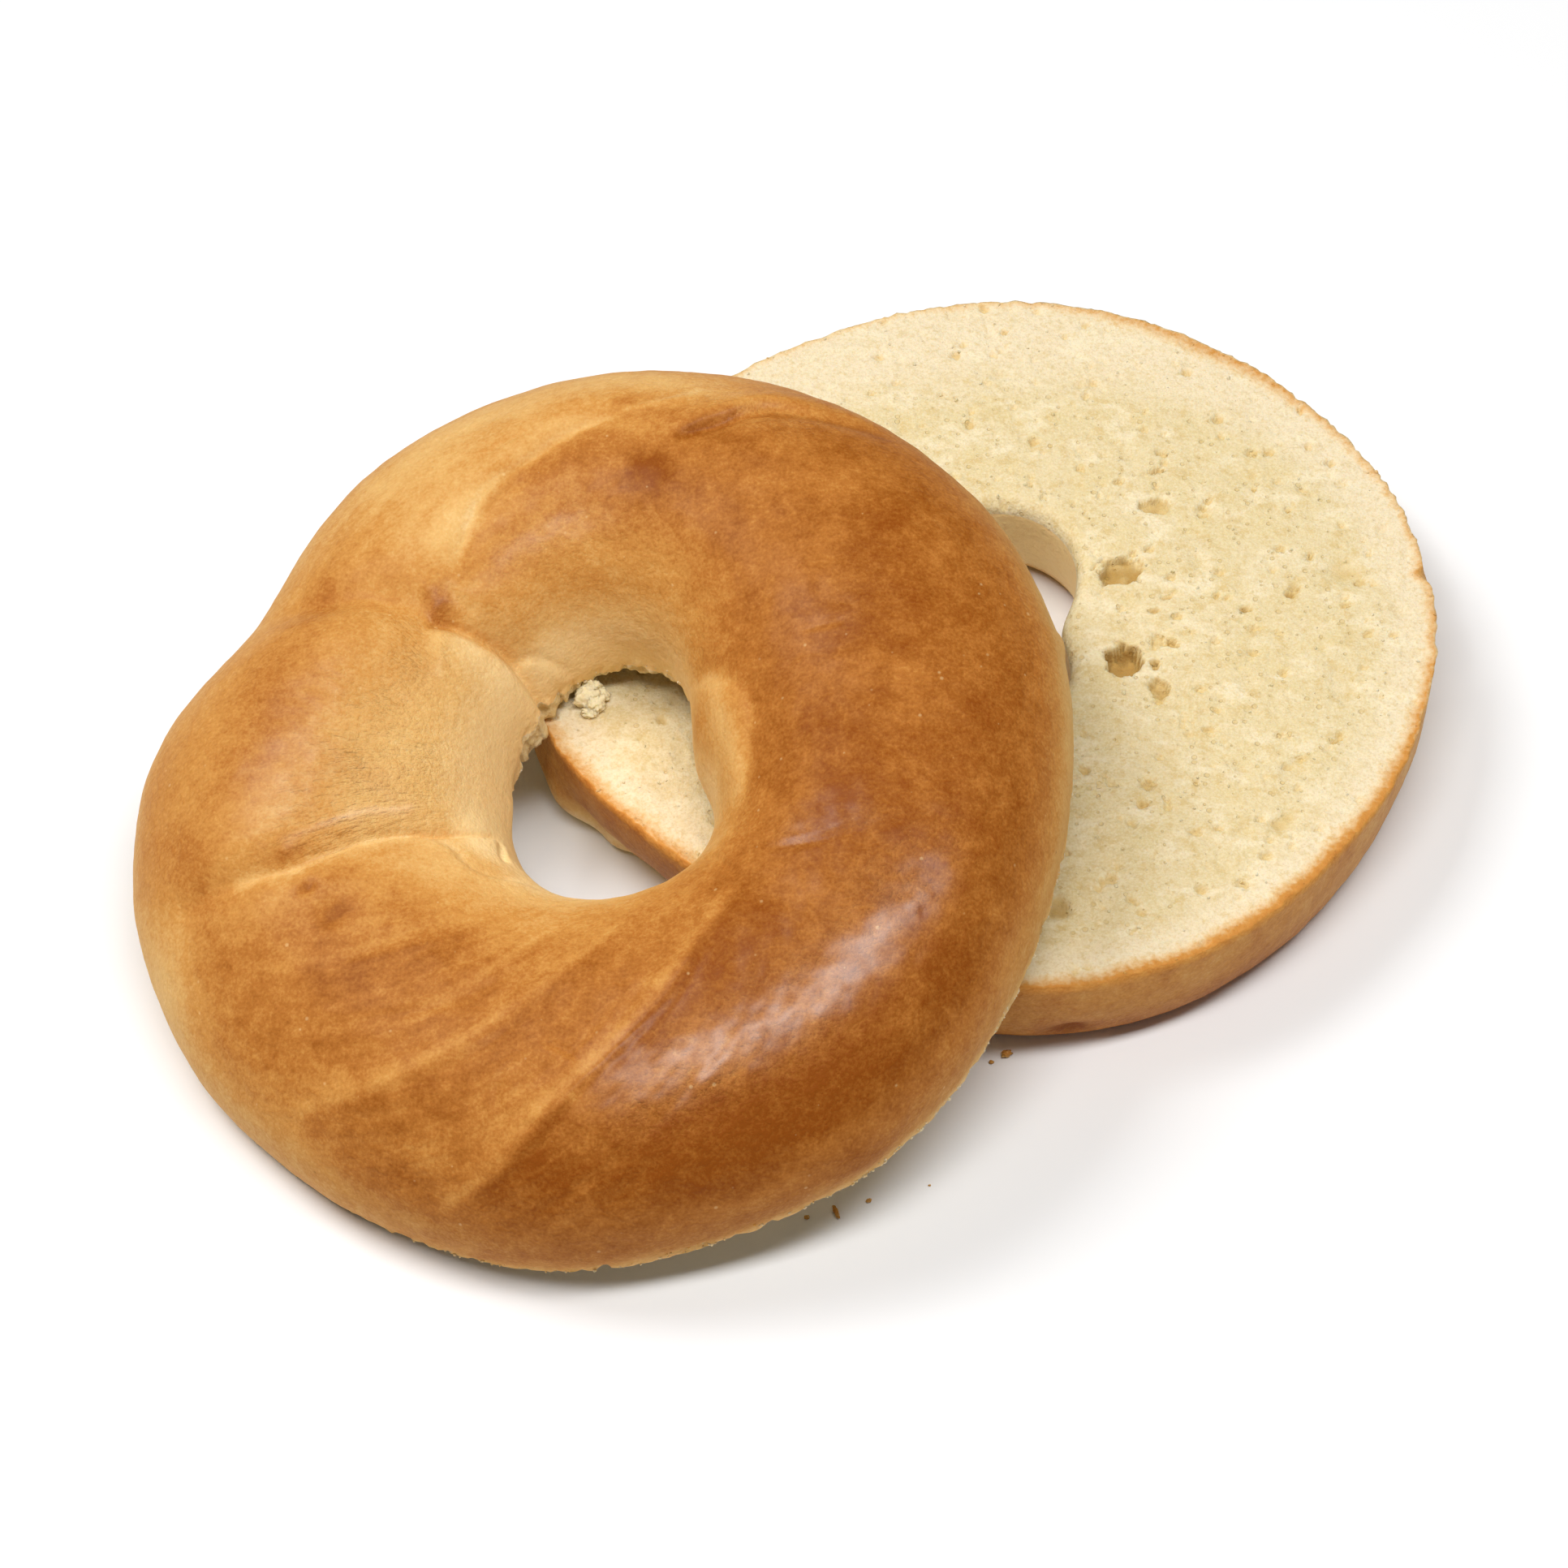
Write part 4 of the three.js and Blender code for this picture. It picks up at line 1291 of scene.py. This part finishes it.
def make_bottom_half():
    """The low half with its cut face up."""
    angle = bottom_angles()[:, None]
    wall, inner, lip = bottom_walls(angle)
    outward = ring_points(1.0, angle, 0.0)
    free = smooth(wall[..., 2], 0, 3)
    swell = uneven(wall, WALL_SWELLS)
    tucked = with_zones(0, angle, wall[..., 2], WALL_LUMPS)
    pit = with_zones(0, angle, wall[..., 2], WALL_PIT)
    edge = smooth(wall[..., 2], BOTTOM_HEIGHT - 1, BOTTOM_HEIGHT)
    notch = -1.3 * near(angle, *EDGE_NOTCH) * edge
    ragged = 0.35 * rough(wall, 1.4, 3, 54) * edge
    wall = wall + outward * (free * (swell - pit) + tucked + notch + ragged)[..., None]
    inner = inner + outward * (0.12 * noise(inner, 6, 55) * smooth(inner[..., 2], 0, 3))[..., None]
    base_way = np.linspace(0, 1, BOTTOM_BASE + 1)[None, 1:-1, None]
    base = wall[:, -1:] + (inner[:, :1] - wall[:, -1:]) * base_way

    way = np.linspace(0, 1, BOTTOM_FACE + 1)[None, 1:-1]
    face = lip[:, -1:] + (wall[:, :1] - lip[:, -1:]) * way[..., None]
    cut = np.concatenate([lip, face], 1)
    shares = np.interp([pore[4] for pore in PORES], *zip(*PORE_SHARE))
    named = [(*pore[:4], share * pore[4], pore[5]) for pore, share in zip(PORES, shares)] + SMALL_PORES
    depth, pore = crumb_relief(cut[..., :2], PORE_SEED, named)
    from_rim = np.linalg.norm(cut[..., :2] - wall[:, :1, :2], axis=-1)
    settled = smooth(from_rim, 0, 1.2) * smooth(cut[..., 2], BOTTOM_HEIGHT - HOLE_LIP, BOTTOM_HEIGHT - 0.4)
    cut[..., 2] -= depth * settled
    low_side, hole_side = near(angle, *LOW_SIDE), near(angle, *HOLE_SIDE)
    far_side, top_side = near(angle, *FAR_SIDE), near(angle, *TOP_SIDE)
    band = 0.9 + 1.3 * low_side + 1.5 * hole_side + 1.5 * far_side
    band = band + 0.35 * noise(cut, 5, 56) + 0.3 * rough(cut, 1.8, 2, 59)
    cut_bake = (0.26 + 0.22 * low_side + 0.1 * hole_side + 0.12 * far_side) * bell(from_rim / band)

    wall_low, tuck_side = near(angle, *LOW_WALL), near(angle, *TUCK_SIDE)
    raised = smooth(wall[..., 2], 3, 9)
    wall_bake = 0.28 + 0.2 * wall_low + 0.24 * hole_side + uneven(wall, WALL_MOTTLING) + 0.35 * pit
    wall_bake = wall_bake + (0.26 * wall_low - 0.08 - 0.08 * hole_side - 0.34 * tuck_side) * (1 - raised)
    base_bake = np.full(base.shape[:2], BASE_BAKE)
    # The hole's wall is pale; its foot is darkened as painted shade where it meets the table.
    inner_bake = 0.01 + 0.5 * (1 - smooth(inner[..., 2], 0, 4)) + 0.04 * noise(inner, 5, 58)
    crust = np.concatenate([wall, base, inner], 1)
    litter = (0.25 + 2.4 * bell(from_rim / 0.6)) * (1 - smooth(pore, 0.1, 0.5))
    rind = 1 - smooth(from_rim - 5 * top_side, 3, 9 + 8 * top_side)
    return closed_ring(
        "bottom_half_crumb",
        "bottom_half",
        crust,
        cut,
        np.concatenate([crust, cut], 1) * MM,
        bake=(np.concatenate([wall_bake, base_bake, inner_bake], 1), cut_bake),
        pore=(0, pore),
        ripple=(0, 0),
        flow=(0, 0),
        gloss=(BOTTOM_GLOSS, 0),
        litter=(0, litter),
        rind=(1, rind),
    )


# ---- Torn tufts and loose crumbs ----


def make_lumps(name, spots, material, level, **attributes):
    """Rough lumps of bread in one mesh, kept above level. A spot is x, y, height, three radii and a turn."""
    form = bmesh.new()
    bmesh.ops.create_icosphere(form, subdivisions=4, radius=1)
    ball = np.array([vertex.co for vertex in form.verts])
    faces = np.array([[vertex.index for vertex in face.verts] for face in form.faces])
    form.free()
    points, corners = [], []
    for number, (x, y, height, long, wide, tall, turn) in enumerate(spots):
        swell = 1 + LUMP_ROUGH * rough(ball * 2 + number * 11.7, 1.0, 5, LUMP_SEED)
        body = ball * swell[:, None] * (long, wide, tall)
        c, s = direction(turn)
        body = body @ np.array([(c, s, 0), (-s, c, 0), (0, 0, 1)])
        body = body + (x, y, height)
        corners.append(faces + len(points) * len(ball))
        points.append(body)
    points = np.concatenate(points)
    points[:, 2] = np.maximum(points[:, 2], level)
    mesh = bpy.data.meshes.new(name)
    mesh.from_pydata((points * MM).tolist(), [], np.concatenate(corners).tolist())
    mesh.polygons.foreach_set("use_smooth", np.ones(len(mesh.polygons), bool))
    for key, value in attributes.items():
        values = np.full(len(points), value, np.float32)
        mesh.attributes.new(key, "FLOAT", "POINT").data.foreach_set("value", values)
    mesh.materials.append(material)
    mesh.update(calc_edges=True)
    return link_piece(name, mesh)


def bottom_spot(angle, out):
    """A place on the bottom half's cut face, in millimetres in the model's frame."""
    low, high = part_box("bottom_half")
    outer = ring_points(outline(BOTTOM_RIM, np.arange(360.0)), np.arange(360.0), 0.0)
    middle = (np.array(low + high)[:2] / MM - outer.max(0)[:2] - outer.min(0)[:2]) / 2
    return middle + out * np.array(direction(angle))


# ---- Bits of crumb, scattered by geometry nodes ----


def random_vector(tree, low, high, seed):
    values = {0: low, 1: high, "Seed": seed}
    return add(tree, "FunctionNodeRandomValue", values, data_type="FLOAT_VECTOR").outputs[0]


def bit_tree():
    """Geometry nodes that scatter small uneven bits over a mesh, by its litter attribute."""
    if "Crumb bits" in bpy.data.node_groups:
        return bpy.data.node_groups["Crumb bits"]
    tree = bpy.data.node_groups.new("Crumb bits", "GeometryNodeTree")
    face = tree.interface
    face.new_socket(name="Geometry", in_out="INPUT", socket_type="NodeSocketGeometry")
    for name in ("Density", "Smallest", "Largest"):
        face.new_socket(name=name, in_out="INPUT", socket_type="NodeSocketFloat")
    face.new_socket(name="Seed", in_out="INPUT", socket_type="NodeSocketInt")
    face.new_socket(name="Material", in_out="INPUT", socket_type="NodeSocketMaterial")
    face.new_socket(name="Geometry", in_out="OUTPUT", socket_type="NodeSocketGeometry")
    start = tree.nodes.new("NodeGroupInput").outputs
    litter = add(tree, "GeometryNodeInputNamedAttribute", {"Name": "litter"}, data_type="FLOAT").outputs[0]
    density = times(tree, start["Density"], litter)
    values = {"Mesh": start["Geometry"], "Density": density, "Seed": start["Seed"]}
    spots = add(tree, "GeometryNodeDistributePointsOnFaces", values).outputs["Points"]
    bit = add(tree, "GeometryNodeMeshIcoSphere", {"Radius": 1.0, "Subdivisions": 1}).outputs["Mesh"]
    squash = random_vector(tree, (0.5, 0.5, 0.35), (1.2, 1.2, 0.8), start["Seed"])
    size = add(tree, "FunctionNodeRandomValue", {2: 0.0, 3: 1.0, "Seed": 7}, data_type="FLOAT").outputs[1]
    size = math_node(tree, "POWER", size, 2.5)
    values = {"Value": size, "To Min": start["Smallest"], "To Max": start["Largest"]}
    radius = add(tree, "ShaderNodeMapRange", values).outputs[0]
    scale = add(tree, "ShaderNodeVectorMath", {0: squash, "Scale": radius}, operation="SCALE").outputs[0]
    turn = random_vector(tree, (0.0, 0.0, 0.0), (math.tau,) * 3, 3)
    values = {"Points": spots, "Instance": bit, "Rotation": turn, "Scale": scale}
    bits = add(tree, "GeometryNodeInstanceOnPoints", values).outputs[0]
    real = add(tree, "GeometryNodeRealizeInstances", {"Geometry": bits}).outputs[0]
    values = {"Geometry": real, "Material": start["Material"]}
    finish = add(tree, "GeometryNodeSetMaterial", values).outputs[0]
    tree.links.new(finish, tree.nodes.new("NodeGroupOutput").inputs[0])
    return tree


def grown(name, carrier, tree, **values):
    """What a geometry nodes tree makes of a carrier mesh, as a plain mesh piece."""
    holder = link_piece(name + "_carrier", carrier)
    modifier = holder.modifiers.new(name, "NODES")
    modifier.node_group = tree
    sockets = {item.name: item.identifier for item in tree.interface.items_tree if item.in_out == "INPUT"}
    for key, value in values.items():
        modifier[sockets[key.capitalize()]] = value
    bpy.context.view_layer.update()
    evaluated = holder.evaluated_get(bpy.context.evaluated_depsgraph_get())
    mesh = bpy.data.meshes.new_from_object(evaluated)
    mesh.name = name
    holder.modifiers.remove(modifier)
    bpy.data.objects.remove(holder)
    return link_piece(name, mesh)


def scatter_bits(name, carrier_name, density, largest, seed):
    """Bits scattered over a half that is already made, as one piece with the crumb's finish."""
    carrier = bpy.data.objects.get(carrier_name)
    if carrier is None:
        raise RuntimeError("make " + carrier_name + " first")
    piece = grown(
        name,
        carrier.data,
        bit_tree(),
        density=density,
        smallest=bpy.context.scene.bagel_crumb.bit_smallest,
        largest=largest,
        seed=seed,
        material=crumb_material(),
    )
    ride(piece, "crumb")


# ---- Operators, one for each piece or group of like pieces ----


class BAGEL_OT_top_half(bpy.types.Operator):
    """Make the domed top half with its crust and cut face"""

    bl_idname = "bagel.top_half"
    bl_label = "Top half"

    def execute(self, context):
        ride(make_top_half(), "crust", "top_half")
        return {"FINISHED"}


class BAGEL_OT_bottom_half(bpy.types.Operator):
    """Make the bottom half with its porous cut face"""

    bl_idname = "bagel.bottom_half"
    bl_label = "Bottom half"

    def execute(self, context):
        ride(make_bottom_half(), "crumb", "bottom_half")
        return {"FINISHED"}


class BAGEL_OT_torn_crumb(bpy.types.Operator):
    """Make the torn tuft on the cut face and the loose crumbs on the table"""

    bl_idname = "bagel.torn_crumb"
    bl_label = "Tuft and crumbs"

    def execute(self, context):
        spots = [(*bottom_spot(angle, out), *rest) for angle, out, *rest in TUFT]
        # The rind and fresh tones brighten the tuft, partly as painted light where it lies in shade.
        tuft = make_lumps("crumb_tuft", spots, crumb_material(), BOTTOM_HEIGHT - 1, rind=1, fresh=1)
        ride(tuft, "crumb")
        ride(make_lumps("loose_crumbs", LOOSE_CRUMBS, crumb_material(), 0.02, bake=0.4), "crumb")
        return {"FINISHED"}


class BAGEL_OT_rim_flakes(bpy.types.Operator):
    """Scatter small flakes along the top half's rim and its torn hole"""

    bl_idname = "bagel.rim_flakes"
    bl_label = "Rim flakes"

    def execute(self, context):
        look = context.scene.bagel_crumb
        scatter_bits("rim_flakes", "top_half_crust", look.flake_density, look.flake_largest, 9)
        return {"FINISHED"}


class BAGEL_OT_crumb_bits(bpy.types.Operator):
    """Scatter small bits of crumb over the bottom half's cut face"""

    bl_idname = "bagel.crumb_bits"
    bl_label = "Crumb bits"

    def execute(self, context):
        look = context.scene.bagel_crumb
        scatter_bits("crumb_bits", "bottom_half_crumb", look.bit_density, look.bit_largest, 5)
        return {"FINISHED"}


def aim(item, away, distance):
    """Puts a light or camera this far off in this direction, and turns it to the view's target."""
    item.location = VIEW_TARGET + away * distance
    item.rotation_euler = away.to_track_quat("Z", "Y").to_euler()


def area_light(name, power, width, length, azimuth, elevation, distance):
    """A soft rectangular light that looks at the view's target."""
    light = bpy.data.lights.new(name, "AREA")
    light.shape = "RECTANGLE"
    light.energy = power
    light.size = width
    light.size_y = length
    x, y = direction(azimuth)
    level, rise = direction(elevation)
    aim(link_piece(name, light), Vector((x * level, y * level, rise)), distance)


class BAGEL_OT_stage(bpy.types.Operator):
    """Make the floor, the lights, the room and the camera"""

    bl_idname = "bagel.stage"
    bl_label = "Stage"

    def execute(self, context):
        scene, look = context.scene, context.scene.bagel_stage
        corners = [(x * FLOOR_REACH, y * FLOOR_REACH, 0) for x, y in ((-1, -1), (1, -1), (1, 1), (-1, 1))]
        mesh = bpy.data.meshes.new("floor")
        mesh.from_pydata(corners, [], [(0, 1, 2, 3)])
        material, _, shader = new_material("floor")
        shader.inputs["Base Color"].default_value = rgba(look.floor)
        shader.inputs["Roughness"].default_value = 0.6
        shader.inputs["Specular IOR Level"].default_value = 0.2
        mesh.materials.append(material)
        link_piece("floor", mesh)
        area_light("key", look.key, *KEY_LIGHT)
        area_light("softbox", look.softbox, *SOFTBOX_LIGHT)

        world = bpy.data.worlds.new("room")
        world.use_nodes = True
        background = world.node_tree.nodes["Background"]
        background.inputs["Color"].default_value = (1, 1, 1, 1)
        background.inputs["Strength"].default_value = look.room
        scene.world = world
        scene.view_settings.view_transform = "Standard"

        data = bpy.data.cameras.new("camera")
        data.lens = VIEW_LENS
        data.clip_start = 0.01
        scene.camera = link_piece("camera", data)
        level, rise = direction(VIEW_ELEVATION)
        aim(scene.camera, Vector((0, -level, rise)), VIEW_DISTANCE)
        return {"FINISHED"}


class BAGEL_PT_panel(bpy.types.Panel):
    """Lists the bagel's pieces in the 3D view's sidebar"""

    bl_idname = "BAGEL_PT_panel"
    bl_label = "Bagel"
    bl_space_type = "VIEW_3D"
    bl_region_type = "UI"
    bl_category = "Bagel"

    def draw(self, context):
        for operator in OPERATORS:
            self.layout.operator(operator.bl_idname)
        for look in (context.scene.bagel_crust, context.scene.bagel_crumb, context.scene.bagel_stage):
            box = self.layout.box()
            for key in look.__annotations__:
                box.prop(look, key)


OPERATORS = (
    BAGEL_OT_stage,
    BAGEL_OT_top_half,
    BAGEL_OT_bottom_half,
    BAGEL_OT_torn_crumb,
    BAGEL_OT_rim_flakes,
    BAGEL_OT_crumb_bits,
)
SETTINGS = {"bagel_crust": BagelCrust, "bagel_crumb": BagelCrumb, "bagel_stage": BagelStage}


def register():
    for kind in (*SETTINGS.values(), *OPERATORS, BAGEL_PT_panel):
        bpy.utils.register_class(kind)
    for name, kind in SETTINGS.items():
        setattr(bpy.types.Scene, name, bpy.props.PointerProperty(type=kind))


def unregister():
    for name in SETTINGS:
        delattr(bpy.types.Scene, name)
    for kind in (BAGEL_PT_panel, *reversed(OPERATORS), *SETTINGS.values()):
        bpy.utils.unregister_class(kind)


def main():
    """Makes every piece in order."""
    register()
    bpy.ops.bagel.stage()
    bpy.ops.bagel.top_half()
    bpy.ops.bagel.bottom_half()
    bpy.ops.bagel.torn_crumb()
    bpy.ops.bagel.rim_flakes()
    bpy.ops.bagel.crumb_bits()


if __name__ == "__main__":
    main()
